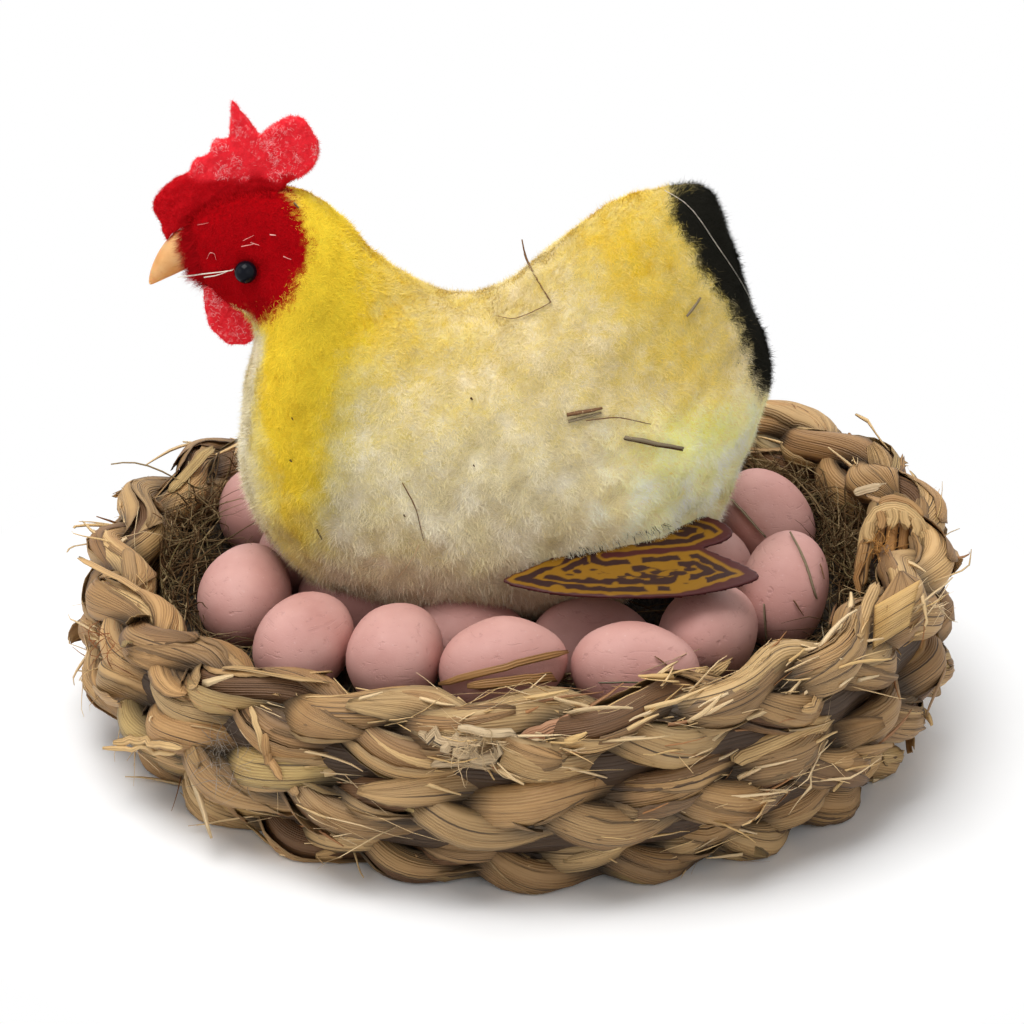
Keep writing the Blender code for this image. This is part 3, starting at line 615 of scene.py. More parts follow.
def outside(flat, outline):
    """Distance from each flat point to an outline, in metres: negative inside it, positive outside."""
    edge = np.array(outline) * MM
    nearest = np.full(len(flat), np.inf)
    inside = np.zeros(len(flat), dtype=bool)
    for start, end in zip(edge, np.roll(edge, -1, axis=0)):
        along = end - start
        nearest = np.minimum(nearest, segment_distance(flat, start, along))
        crosses = (start[1] > flat[:, 1]) != (end[1] > flat[:, 1])
        rise = along[1] if along[1] else 1e-12
        inside ^= crosses & (flat[:, 0] < start[0] + (flat[:, 1] - start[1]) / rise * along[0])
    return np.where(inside, -nearest, nearest)


def dye_and_shade(places, seed, ragged=0.0006):
    """The flock's dye at each place, with painted shade in a band down the breast, on the upper body and on
    the belly, and painted light on the lower rear.
    """
    dice = np.random.default_rng(seed)
    count = len(places)
    flat = places[:, (0, 2)]
    blotch = waves(places, 0.014, 21) * 0.05 + waves(places, 0.005, 22) * 0.06
    blotch += waves(places, 0.0022, 26) * 0.05
    yellow = np.zeros(count)
    for x, z, wide, tall, strength in YELLOW_PATCHES:
        away = ((flat[:, 0] / MM - x) / wide) ** 2 + ((flat[:, 1] / MM - z) / tall) ** 2
        yellow += strength * np.exp(-away / 1.6)
    front_edge = smooth_step(0.0105, 0.0155, np.abs(places[:, 1]) + waves(places, 0.010, 27) * 0.0007)
    low_front = smooth_step(0.082, 0.074, places[:, 2]) * smooth_step(-0.020, -0.038, places[:, 0])
    yellow *= 1 - low_front * (1 - front_edge) * 0.95
    yellow = np.clip(yellow + blotch * (0.5 + 0.6 * yellow) + dice.normal(0, 0.09, count), 0.0, 1.0)
    downy = np.clip(0.4 + waves(places, 0.007, 23) * 0.3 + dice.normal(0, 0.2, count), 0, 1)
    tint = blend_colours(np.broadcast_to(CREAM, places.shape), WHITE_DOWN, downy)
    tint = blend_colours(tint, PALE_YELLOW, smooth_step(0.0, 0.55, yellow))
    tint = blend_colours(tint, BRIGHT_YELLOW, smooth_step(0.30, 1.05, yellow))
    # Painted shade in a band down the breast and over the upper body, painted light on the lower rear, and
    # painted shade on the belly.
    fold = np.exp(-((places[:, 0] / MM + 34.0) / 6.5) ** 2) * smooth_step(0.098, 0.080, places[:, 2])
    tint = tint * (1 - FOLD_SHADE * fold[:, None])
    upper = smooth_step(0.054, 0.078, places[:, 2]) * smooth_step(-0.034, -0.020, places[:, 0])
    tint = blend_colours(tint, tint * UPPER_SHADE, upper)
    rear = smooth_step(0.004, 0.030, places[:, 0]) * smooth_step(0.076, 0.060, places[:, 2])
    tint = blend_colours(tint, tint * REAR_LIGHT, rear)
    belly = smooth_step(0.052, 0.026, places[:, 2] + waves(places, 0.008, 24) * 0.002)
    tint = blend_colours(tint, BELLY_SHADE, belly * (0.80 - 0.45 * rear))
    loose = dice.normal(0.0, ragged, count) + waves(places, 0.0045, 25) * 0.0003
    red = smooth_step(0.0006, -0.0006, outside(flat, FACE_EDGE) + loose)
    tint = blend_colours(tint, FACE_RED, red)
    black = smooth_step(0.0008, -0.0008, outside(flat, BAND_EDGE) + loose * 0.8)
    tint = blend_colours(tint, SOOT, black)
    return tint * np.clip(1 + dice.normal(0.0, 0.045, (count, 1)), 0.8, 1.15)


def tinted_paint(name, roughness, **fixed):
    """A finish that takes its colour from the piece's own points."""
    paint = Paint(name, roughness=roughness, **fixed)
    tint = paint.node("ShaderNodeAttribute", {"attribute_name": "tint"}, {}, "Color")
    return paint, tint


def flock_paint():
    paint, tint = tinted_paint("dyed_flock", 0.95, Specular_IOR_Level=0.0)
    where = paint.places()
    nap = paint.noise(where, 2200.0, 2.0)
    tufts = paint.noise(where, 420.0, 3.0)
    shaded = paint.darker(tint, (0.84, 0.82, 0.78))
    paint.feed("Base Color", paint.mix(paint.step(nap, 0.3, 0.7) * 0.35, tint, shaded))
    paint.bump(nap * 0.4 + tufts, 0.0003, 0.7)
    return paint.material


def fibre_paint(name):
    paint, tint = tinted_paint(name, 0.95, Specular_IOR_Level=0.05)
    paint.feed("Base Color", tint)
    return paint.material


flock_skin = flock_paint()
flock_fibre = fibre_paint("flock_fibres")

# %% Skin of the hen
SKIN_INSET = 0.00018
SKIN_VOXEL = 0.0010
SKIN_SHADE = 0.92
skin = ops_copy("hen_body", "hen_skin")
remesh_soft(skin, SKIN_VOXEL, 16)
rows = points_of(skin)
lumps = waves(rows, 0.017, 31) * 0.00025 + waves(rows, 0.006, 32) * 0.00010
move_points(skin, rows - normals_of(skin) * (SKIN_INSET - lumps)[:, None])
skin.data.materials.append(flock_skin)
colour_points(skin.data, dye_and_shade(rows, 40) * SKIN_SHADE)
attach(skin, "root")
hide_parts("hen_body")
print("skin triangles:", triangles_of(skin))

# %% [markdown]
# Fibres stand where flock would: not on the eyes, and not where the beak sits. They lean back and down,
# as a hand strokes a toy, with swirls. So many fibres shade each other that their colour is painted a
# little lighter, as painted light that makes up for that shade.

# %% Flock fibres
FIBRES_A_PIECE = 195000
# Painted light: the fibres' colour is raised to make up for the shade they cast on each other.
COAT_LIGHT = 1.09
BARE_SPOTS = {"eye_left": 0.00185, "eye_right": 0.00185, "beak": 0.0030}
FIBRE_WIDTHS = (0.00006, 0.00011)


def middle_of(node_name):
    return np.array(sum(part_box(node_name), Vector()) / 2)


def coat(name, seed, pick):
    """One piece of flock on the places that pick keeps."""
    places, facing = scatter(skin, int(FIBRES_A_PIECE * 2.3), seed)
    keep = pick(places)
    for node_name, radius in BARE_SPOTS.items():
        keep &= np.linalg.norm(places - middle_of(node_name), axis=1) > radius
    places, facing = places[keep][:FIBRES_A_PIECE], facing[keep][:FIBRES_A_PIECE]
    count = len(places)
    dice = np.random.default_rng(seed + 1)
    flow = np.tile((0.45, 0.0, -0.45), (count, 1))
    for axis, swirl_size in enumerate((0.009, 0.009, 0.006)):
        flow[:, axis] += waves(places, swirl_size, 51 + axis) * 0.55
    lean = np.clip(dice.normal(1.18, 0.24, count) + waves(places, 0.0035, 54) * 0.08, 0.2, 1.45)
    stray = dice.random(count) < 0.05
    lean[stray] = dice.uniform(0.1, 0.9, stray.sum())
    tints = dye_and_shade(places, seed + 2, ragged=0.0007)
    dark = tints.sum(axis=1) < 0.25
    tints = tints * COAT_LIGHT
    length = np.clip(dice.normal(0.00105, 0.00028, count), 0.0005, 0.0022)
    low = smooth_step(0.060, 0.040, places[:, 2])
    head = places[:, 2] - places[:, 0] * 0.9 > 0.124
    length *= np.where(head, 0.60, 1.0) * np.where(dark, 1.25, 1.0) * (1 + 0.45 * low)
    width = dice.uniform(*FIBRE_WIDTHS, count)
    piece = add_fibres(name, places, facing, flow, lean, length, width, tints, flock_fibre, seed + 3, 0.9)
    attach(piece, "root")
    print(name, "fibres:", count)


coat("flock_near_side", 61, lambda places: places[:, 1] < 0.0)
coat("flock_far_side", 71, lambda places: places[:, 1] >= 0.0)

# %% [markdown]
# Low on the breast and along the belly the flock stands off as stiff white bristles. Red tufts hide where
# the beak and the comb are glued in.


# %% Bristles and tufts
BRISTLE_WIDTHS = (0.00007, 0.00013)


def bristles(name, seed, count, pick, leans, lengths, tint, flow):
    """Fibres of one colour, up to a count, on the places that pick keeps."""
    places, facing = scatter(skin, count * 40, seed)
    keep = pick(places)
    places, facing = places[keep][:count], facing[keep][:count]
    dice = np.random.default_rng(seed + 1)
    count = len(places)
    tints = np.clip(tint * dice.uniform(0.85, 1.05, (count, 1)), 0, 1)
    flow = unit(np.tile(flow, (count, 1)))
    lean = dice.uniform(*leans, count)
    length = dice.uniform(*lengths, count)
    width = dice.uniform(*BRISTLE_WIDTHS, count)
    piece = add_fibres(name, places, facing, flow, lean, length, width, tints, flock_fibre, seed + 2, 0.5)
    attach(piece, "root")
    print(name, "fibres:", count)


def low_on_breast(places):
    ragged = waves(places, 0.004, 33) * 0.002
    front = (places[:, 0] < -0.040) & (np.abs(places[:, 1]) < 0.013)
    return (places[:, 2] < 0.062 + ragged) & (places[:, 2] > 0.024) & front


def along_belly(places):
    return (places[:, 2] < 0.036) & (places[:, 2] > 0.022)


def round_beak(places):
    beak_middle = middle_of("beak")
    away = np.linalg.norm(places - beak_middle, axis=1)
    return (away > 0.0022) & (away < 0.0088) & (places[:, 2] > beak_middle[2] - 0.0042)


def under_comb(places):
    well_inside = outside(places[:, (0, 2)], FACE_EDGE) < -0.0022
    return (places[:, 2] > 0.0925) & well_inside & (np.abs(places[:, 1]) < 0.0045)


bristles("breast_bristles", 401, 1500, low_on_breast, (0.25, 1.0), (0.0010, 0.0019), WHITE_DOWN,
         (-0.2, 0.0, -1.0))
bristles("belly_bristles", 411, 3200, along_belly, (0.4, 1.2), (0.0012, 0.0021), WHITE_DOWN, (0.3, 0.0, -1.0))
bristles("beak_tuft", 421, 9000, round_beak, (0.8, 1.35), (0.0014, 0.0036), FACE_RED, (-1.0, 0.0, -0.45))
bristles("crown_tuft", 431, 6000, under_comb, (0.1, 1.2), (0.0008, 0.0020), FACE_RED * 1.15, (-0.4, 0.0, 1.0))

# %% [markdown]
# ## Felt comb and wattles
# Craft felt is a mat of fibres about 2 mm thick, cut with scissors, so its edges are square but woolly.
# The copied solids are remeshed for a soft edge, and pale fibres show as speckles on the red.


# %% Felt
def felt_paint():
    paint, tint = tinted_paint("red_craft_felt", 0.95, Specular_IOR_Level=0.2)
    where = paint.places()
    mat = paint.noise(where, 1500.0, 3.0, 0.65)
    pale = paint.step(paint.noise(where, 1150.0, 3.0, 0.6), 0.52, 0.66)
    where_pale = paint.step(paint.noise(where, 240.0, 2.0), 0.44, 0.60)
    green = paint.node("ShaderNodeSeparateColor", {}, {"Color": tint}, "Green")
    bright = paint.step(green, 0.008, 0.018)
    paint.feed("Base Color", paint.mix(pale * where_pale * bright * 0.75, tint, rgba(250, 168, 170)))
    paint.bump(mat, 0.0003, 0.9)
    return paint.material


red_felt = felt_paint()
felt_fibre = fibre_paint("felt_fibres")
FELT_RED = colour(246, 50, 62)
DEEP_RED = colour(206, 14, 26)
PALE_FIBRE = colour(255, 186, 188)
FELT_VOXEL = 0.00032
FLUFF_SPACING = 0.0003
FLUFF_SHARE = 1.6


def felt_tint(places, dice):
    """Bright red, deeper towards the face."""
    near_face = smooth_step(0.1038, 0.1020, places[:, 2] + waves(places, 0.006, 81) * 0.0007)
    near_face *= smooth_step(-0.0335, -0.0375, places[:, 0]) * smooth_step(-0.0676, -0.0654, places[:, 0])
    near_face = np.where(places[:, 2] < 0.0900, 0.20, near_face)
    tint = blend_colours(np.broadcast_to(FELT_RED, places.shape), DEEP_RED, np.clip(near_face, 0, 1))
    return tint * np.clip(1 + dice.normal(0, 0.05, (len(places), 1)), 0.8, 1.2)


def dress_felt(node_name):
    piece = ops_copy(node_name, node_name + "_felt")
    remesh_soft(piece, FELT_VOXEL, 5)
    rows = points_of(piece)
    uneven = waves(rows, 0.0042, 82) * 0.00008 + waves(rows, 0.0014, 83) * 0.00005
    move_points(piece, rows + normals_of(piece) * uneven[:, None])
    dice = np.random.default_rng(84)
    colour_points(piece.data, felt_tint(rows, dice))
    piece.data.materials.append(red_felt)
    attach(piece, "root")
    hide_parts(node_name)
    low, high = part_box(node_name)
    count = int((high.x - low.x) * (high.z - low.z) * 2 / FLUFF_SPACING ** 2 * FLUFF_SHARE)
    places, facing = scatter(piece, count, 85)
    tints = felt_tint(places, dice)
    speckled = 0.30 * smooth_step(-0.6, 1.4, waves(places, 0.0045, 86)) * (tints[:, 1] > 0.015)
    tints[dice.random(count) < speckled] = PALE_FIBRE
    flow = dice.normal(size=(count, 3))
    lean = np.clip(dice.normal(1.15, 0.25, count), 0.3, 1.5)
    length = dice.uniform(0.0004, 0.0009, count)
    width = dice.uniform(0.00006, 0.00010, count)
    fluff = add_fibres(node_name + "_fluff", places, facing, flow, lean, length, width, tints, felt_fibre, 87)
    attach(fluff, "root")
    print(node_name, "felt triangles:", triangles_of(piece), "fibres:", count)


for felt_name in ("comb", "wattle_left", "wattle_right"):
    dress_felt(felt_name)

# %% [markdown]
# ## Eyes and beak
# The eyes are glossy black beads, so a clean sphere with a hard, smooth finish is enough. The beak is
# a small orange horn that lets some light through.


# %% Eyes
def eye_paint():
    paint = Paint("black_bead", roughness=0.12, Specular_IOR_Level=0.10)
    cloud = paint.noise(paint.places(), 700.0, 2.0)
    # The faint dark blue mixed into the black is a painted sheen.
    paint.feed("Base Color", paint.mix(cloud, (0.002, 0.002, 0.003, 1.0), (0.004, 0.006, 0.012, 1.0)))
    return paint.material


black_bead = eye_paint()
for eye_name in ("eye_left", "eye_right"):
    low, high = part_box(eye_name)
    bpy.ops.mesh.primitive_uv_sphere_add(segments=32, ring_count=20, radius=(high.z - low.z) / 2)
    bead = bpy.context.object
    bead.name = eye_name + "_bead"
    bead.location = (low + high) / 2
    bpy.ops.object.transform_apply(location=True, rotation=True, scale=True)
    bpy.ops.object.shade_smooth()
    bead.data.materials.append(black_bead)
    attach(bead, "root")
    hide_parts(eye_name)

# %% [markdown]
# The solid beak has few faces, so it is subdivided first, and then remeshed for one smooth skin.


# %% Beak
BEAK_VOXEL = 0.00022


def beak_paint():
    paint = Paint("orange_horn", roughness=0.38, Subsurface_Weight=0.35, Subsurface_Scale=0.002)
    where = paint.places()
    cloud = paint.noise(where, 260.0, 3.0)
    grain = paint.noise(where, 1700.0, 2.0)
    base = paint.mix(paint.step(cloud, 0.35, 0.65), rgba(216, 150, 80), rgba(228, 176, 112))
    paint.feed("Base Color", paint.mix(paint.step(grain, 0.62, 0.75) * 0.3, base, rgba(196, 120, 60)))
    paint.bump(grain * 0.5 + cloud, 0.0002, 0.5)
    return paint.material


beak = ops_copy("beak", "beak_horn")
apply_modifier(beak, "SUBSURF", levels=2, render_levels=2)
remesh_soft(beak, BEAK_VOXEL, 4)
beak.data.materials.append(beak_paint())
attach(beak, "root")
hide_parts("beak")
print("beak triangles:", triangles_of(beak))

# %% [markdown]
# ## Husk rope
# The rope is a plait of three strands, and each strand is a bundle of dry husk leaves rolled together.
# A plain tube never looks like it, so each strand is a dark core with overlapping leaves laid over it.
# A leaf is a strip that curves round its strand, with folds along it, a curled edge and a ragged end.

# %% Where the rope runs
NEST_LENGTH = 0.1612
NEST_WIDTH = 0.1550
HALF_ROPE = 0.0065
HALF_HEIGHT = 0.0073
OVAL = (NEST_WIDTH / 2 - HALF_ROPE) / (NEST_LENGTH / 2 - HALF_ROPE)
WALL_RADIUS = NEST_LENGTH / 2 - HALF_ROPE
ROW_RISE = 0.0131
FOOT_Z = HALF_HEIGHT - 0.0026
RIM_LEAN = 0.0041
RIM_SAG = 0.0010
ROW_NODES = ("nest_foot_row", "nest_middle_row", "nest_rim_row")
ROW_INSET = (0.0072, 0.0, 0.0011)
PLAITS = 7
SWING = 0.48
STRAND_HALF = 0.50
SEAM_OVERLAP = 0.0009
LOWEST = 0.0002


def row_height(row, bearing):
    lean = RIM_LEAN * np.cos(bearing) + RIM_SAG * np.sin(bearing)
    return FOOT_Z + row * ROW_RISE + row / 2 * lean


def seam_height(lower, bearing):
    """Height of the seam over a turn of the wall."""
    return (row_height(lower, bearing) + row_height(lower + 1, bearing)) / 2


def strand_middle(row, strand, bearing):
    """Middle of a strand: how far out it is, and how high."""
    phase = PLAITS * bearing + row * math.pi / 3 + 2 * math.pi * strand / 3
    out = WALL_RADIUS - ROW_INSET[row] + SWING * HALF_ROPE * np.sin(2 * phase)
    return out, row_height(row, bearing) + SWING * HALF_HEIGHT * np.sin(phase)


def strand_surface(row, strand, bearing, around, lift):
    """A point on a strand, at an angle round its section, lifted off it by so much."""
    out, height = strand_middle(row, strand, bearing)
    thick = STRAND_HALF * HALF_ROPE + lift
    tall = STRAND_HALF * HALF_HEIGHT + lift
    out = out + thick * np.cos(around)
    height = height + tall * np.sin(around)
    if row:
        height = np.maximum(height, seam_height(row - 1, bearing) - SEAM_OVERLAP)
    else:
        height = np.maximum(height, LOWEST)
    if row < 2:
        height = np.minimum(height, seam_height(row, bearing) + SEAM_OVERLAP)
    return np.stack((out * np.cos(bearing), out * OVAL * np.sin(bearing), height), axis=-1)


# %% [markdown]
# Every leaf has a UV map in metres, so the same veins, cracks and wavy bands run along each of them,
# whatever its size. The colour itself comes from the leaf's points.

# %% Husk finish
VEINS_A_METRE = 2 * math.pi / 0.00046


def husk_paint():
    """Dry leaf: fine veins along it, dark cracks between some of them, and brown blotches."""
    paint, tint = tinted_paint("dry_husk", 0.62)
    leaf = paint.node("ShaderNodeUVMap", {"uv_map": "Leaf"}, {})
    where = paint.places()
    bands = paint.noise(paint.mapped(leaf, (420.0, 12.0, 1.0)), 1.0, 3.0)
    wavy = paint.node("ShaderNodeSeparateXYZ", {}, {"Vector": leaf}, "X") * VEINS_A_METRE + bands * 9.0
    ridges = wavy.math("SINE") * 0.5 + 0.5
    faint = paint.step(paint.noise(paint.mapped(leaf, (900.0, 40.0, 1.0)), 1.0, 2.0), 0.35, 0.60)
    veins = ridges * faint
    cracks = paint.step(paint.noise(paint.mapped(leaf, (2300.0, 26.0, 1.0)), 1.0, 2.0), 0.62, 0.68)
    blotch = paint.step(paint.noise(where, 75.0, 4.0, 0.6), 0.52, 0.70)
    base = paint.mix(veins * 0.68, tint, paint.darker(tint, (0.52, 0.44, 0.36)))
    base = paint.mix(paint.step(bands, 0.50, 0.72) * 0.4, base, paint.darker(tint, (0.78, 0.66, 0.50)))
    base = paint.mix(blotch * 0.50, base, paint.darker(tint, (0.62, 0.50, 0.38)))
    base = paint.mix(cracks * 0.85, base, rgba(62, 44, 28))
    paint.feed("Base Color", base)
    paint.bump(bands * 0.5 - veins * 0.5 - cracks * 1.2, 0.00025, 0.9)
    return paint.material


husk_leaf = husk_paint()
HUSK_TAN = colour(182, 140, 88)
HUSK_PALE = colour(214, 178, 122)
HUSK_BROWN = colour(128, 90, 54)
HUSK_GREEN = colour(178, 156, 92)
HUSK_DARK = colour(90, 65, 40)


def leaf_tones(count, dice):
    tone = blend_colours(np.broadcast_to(HUSK_TAN, (count, 3)), HUSK_PALE, dice.random(count) ** 1.4)
    tone = blend_colours(tone, HUSK_BROWN, (dice.random(count) < 0.30) * dice.uniform(0.2, 0.8, count))
    tone = blend_colours(tone, HUSK_GREEN, (dice.random(count) < 0.10) * dice.uniform(0.2, 0.6, count))
    return tone * dice.uniform(0.78, 1.10, (count, 1))


# %% [markdown]
# Leaves are grids of points: strips that lie on a strand, rolled round it, or ribbons that follow a row of
# points in the air. Both kinds come from the same few functions.

# %% Strips of leaf
LEAF_THICKNESS = 0.00012


def strip_faces(count, steps, columns):
    """Quads over a number of grids, each of steps by columns points."""
    grid = np.arange(count * steps * columns).reshape(count, steps, columns)
    near, far = grid[:, :-1], grid[:, 1:]
    return np.stack((near[..., :-1], near[..., 1:], far[..., 1:], far[..., :-1]), axis=-1).reshape(-1, 4)


def leaf_maps(count, steps, columns, widths, lengths):
    """The Leaf map, in metres along and across each leaf, and an OFBake map with a cell for each leaf."""
    across_share = np.linspace(0, 1, columns)[None, None, :]
    along_share = np.linspace(0, 1, steps)[None, :, None]
    shift = (np.arange(count) * 0.137)[:, None, None]
    ones = np.ones((count, steps, columns))
    widths, lengths = (np.broadcast_to(sizes, count)[:, None, None] for sizes in (widths, lengths))
    leaf = np.stack((across_share * widths * ones + shift, along_share * lengths * ones + shift), axis=-1)
    stacks = 3
    tall = math.ceil(count / stacks)
    column = (np.arange(count) % stacks)[:, None, None]
    place = (np.arange(count) // stacks)[:, None, None]
    bake = np.stack(((column + 0.01 + 0.98 * along_share * ones) / stacks,
                     (place + 0.06 + 0.88 * across_share * ones) / tall), axis=-1)
    return {"Leaf": leaf.reshape(-1, 2), "OFBake": bake.reshape(-1, 2)}


def add_strips(name, points, tints, widths, lengths):
    """Strips of husk from grids of points, one for each strip, with their colours and both maps."""
    count, steps, columns, _ = points.shape
    tints = np.broadcast_to(tints, points.shape)
    return add_piece(name, points.reshape(-1, 3), strip_faces(count, steps, columns), husk_leaf,
                     tints.reshape(-1, 3), leaf_maps(count, steps, columns, widths, lengths))


def add_ribbons(name, paths, facing, widths, cup, tones, seed):
    """Flat pieces of husk leaf along rows of points. They face one way, are cupped, and have torn ends."""
    count, steps, _ = paths.shape
    columns, torn, flattest = 7, 0.30, 0.2
    dice = np.random.default_rng(seed)
    ahead_ways = unit(np.gradient(paths, axis=1))
    across_ways = unit(np.cross(ahead_ways, facing))
    rise = np.cross(across_ways, ahead_ways)
    share = np.linspace(0, 1, steps)[None, :, None, None]
    over = np.linspace(-0.5, 0.5, columns)[None, None, :, None]
    wide = widths[:, None, None, None]
    taper = np.minimum(1.0, np.minimum(share * 5 + 0.45, (1 - share) * 6 + 0.40))
    tear = dice.normal(0, torn, (count, 1, columns, 1)) * wide * smooth_step(0.60, 1.0, share)
    cup = cup[:, None, None, None]
    bowl = (np.cos(over * cup) - 1) / np.maximum(cup, flattest)
    reach = np.sin(over * cup) / np.maximum(cup, flattest)
    crease = np.sin(over * 19 + dice.uniform(0, 6, (count, 1, 1, 1)) + share * 2) * 0.03
    points = (paths[:, :, None, :] + across_ways[:, :, None, :] * reach * wide * taper
              + rise[:, :, None, :] * (bowl + crease) * wide * taper + ahead_ways[:, :, None, :] * tear)
    shade = 1.0 - 0.25 * (np.abs(over) > 0.45) + dice.normal(0, 0.05, (count, 1, columns, 1))
    lengths = np.linalg.norm(np.diff(paths, axis=1), axis=2).sum(axis=1)
    piece = add_strips(name, points, tones[:, None, None, :] * shade, widths, lengths)
    apply_modifier(piece, "SOLIDIFY", thickness=LEAF_THICKNESS, offset=0.0)
    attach(piece, "root")


# %% [markdown]
# On each strand of a turn the leaves start one after another and overlap, each with its own length, twist,
# folds and curled edge. Painted shade darkens what lies deep in the plait, the dips of the folds and the
# front of the wall.

# %% Leaves over the strands
# How much painted shade darkens the front of each turn of the wall, from the foot up.
FRONT_SHADE = (0.20, 0.20, 0.10)
LEAVES_A_STRAND = 30
LEAF_STEPS = 46
LEAF_COLUMNS = 9
CORE_STEPS = 260
CORE_SIDES = 13
WIDTH_A_RADIAN = 0.0036
ROUND_THE_WALL = 2 * math.pi * WALL_RADIUS


def each_leaf(values):
    return values[:, None, None]


def dress_row(row):
    """The core strands and the leaves of one turn of the wall."""
    dice = np.random.default_rng(100 + row)
    count = LEAVES_A_STRAND * 3
    strand = np.repeat(np.arange(3), LEAVES_A_STRAND)
    order = np.tile(np.arange(LEAVES_A_STRAND), 3)
    start = 2 * math.pi * (order + dice.uniform(-0.35, 0.35, count)) / LEAVES_A_STRAND
    span = dice.uniform(0.60, 1.25, count)
    facing = order * 2.4 + dice.uniform(0, 1.4, count)
    twist = dice.normal(-2.6, 1.0, count)
    wrap = dice.uniform(1.7, 3.9, count)
    layer = dice.uniform(-0.00020, 0.00060, count)
    along = np.linspace(0, 1, LEAF_STEPS)[None, :, None]
    over = np.linspace(-0.5, 0.5, LEAF_COLUMNS)[None, None, :]
    ends = np.minimum(1.0, np.minimum(along * 4.5 + 0.10, (1 - along) * 4 + 0.06)) ** 0.8
    bearing = each_leaf(start) + each_leaf(span) * along
    around = each_leaf(facing) + each_leaf(twist) * along + each_leaf(wrap) * over * ends
    pleats = np.where(dice.random(count) < 0.25, dice.uniform(0.00025, 0.00045, count),
                      dice.uniform(0.00004, 0.00016, count))
    fold_count = dice.uniform(0.7, 2.2, count)
    fold_start = dice.uniform(0, 6.28, count)
    fold_drift = dice.normal(0, 1.5, count)
    folds = np.sin(over * 2 * math.pi * each_leaf(fold_count) + each_leaf(fold_start)
                   + along * each_leaf(fold_drift))
    ripple_count = dice.uniform(9, 22, count)
    ripple_start = dice.uniform(0, 6.28, count)
    ripple = np.sin(along * each_leaf(ripple_count) + over * 9 + each_leaf(ripple_start))
    curl = np.maximum(np.abs(over) * 2 - 0.7, 0.0) * each_leaf(dice.uniform(-0.0010, 0.0016, count))
    tail = np.maximum(along - 0.90, 0.0) * 10 * each_leaf(dice.uniform(0.0, 0.0022, count))
    lift = each_leaf(layer) + folds * each_leaf(pleats) + ripple * 0.00006 + curl + tail
    points = np.empty((count, LEAF_STEPS, LEAF_COLUMNS, 3))
    for each in range(3):
        mine = strand == each
        points[mine] = strand_surface(row, each, bearing[mine], around[mine], lift[mine])
    rim = np.abs(over) > 0.45
    points += dice.normal(0.0, 0.00010, points.shape) * rim[..., None]
    points[..., 2] = np.maximum(points[..., 2], LOWEST)
    tones = leaf_tones(count, dice)[:, None, None, :]
    out = np.hypot(points[..., 0], points[..., 1] / OVAL) - (WALL_RADIUS - ROW_INSET[row])
    off_middle = np.hypot(out / HALF_ROPE, (points[..., 2] - row_height(row, bearing)) / HALF_HEIGHT)
    # Painted shade: darker deep in the plait, in the dips of the folds and on the front of the wall; the leaf
    # edges are darker too.
    depth_shade = 0.16 + 0.84 * smooth_step(0.46, 0.88, off_middle)
    front_shade = smooth_step(0.1, 0.8, -np.sin(bearing)) * smooth_step(-0.6, 0.2, np.cos(bearing))
    shade = depth_shade * (1.0 - 0.12 * np.clip(-folds, 0, 1) - 0.40 * rim)
    shade = shade * (1 - FRONT_SHADE[row] * front_shade)
    leaves = add_strips(ROW_NODES[row] + "_leaves", points, tones * shade[..., None], wrap * WIDTH_A_RADIAN,
                        span * WALL_RADIUS)
    apply_modifier(leaves, "SOLIDIFY", thickness=LEAF_THICKNESS, offset=-1.0)
    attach(leaves, "root")

    turn = np.linspace(0, 2 * math.pi, CORE_STEPS)[:, None]
    ring = np.linspace(0, 2 * math.pi, CORE_SIDES)[None, :]
    grooves = 0.00015 * np.sin(ring * 4 + turn * 9) - 0.00040
    cores = np.stack([strand_surface(row, each, turn, ring, grooves) for each in range(3)])
    core = add_strips(ROW_NODES[row] + "_core", cores, HUSK_BROWN * 0.7, 0.022, ROUND_THE_WALL)
    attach(core, "root")
    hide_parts(ROW_NODES[row])
    print(ROW_NODES[row], "leaves:", count, "triangles:", triangles_of(leaves) + triangles_of(core))


for row_number in range(3):
    dress_row(row_number)

# %% [markdown]
# Where the turns lean apart on the right, one could look through the wall. A ring of packed husk in each
# seam closes it, as the crushed leaves do in the real nest, painted near black as painted shade in the seam.

# %% Packing in the seams
PACKING_HALF = (0.0024, 0.0040)


def pack_seam(lower):
    """A ring of packed husk between a turn and the next one up, painted near black as painted shade."""
    bearing = np.linspace(0, 2 * math.pi, 180)[:, None]
    around = np.linspace(0, 2 * math.pi, 11)[None, :]
    out = WALL_RADIUS - (ROW_INSET[lower] + ROW_INSET[lower + 1]) / 2
    out = out + PACKING_HALF[0] * np.cos(around) * (1 + 0.2 * np.sin(bearing * 31))
    height = seam_height(lower, bearing) + PACKING_HALF[1] * np.sin(around)
    points = np.stack((out * np.cos(bearing), out * OVAL * np.sin(bearing), height), axis=-1)
    # Painted shade: the packing takes a near-black husk colour.
    ring = add_strips(f"shaded_seam_packing_{lower + 1}", points[None], HUSK_DARK * 0.6, 0.016, ROUND_THE_WALL)
    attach(ring, "root")
    print(ring.name, "triangles:", triangles_of(ring))


for lower_row in range(2):
    pack_seam(lower_row)


# %% [markdown]
# The mat below is hardly seen, and the solid already has the plait's shape, so it only gets the husk's
# colour. Its veins come from a noise.


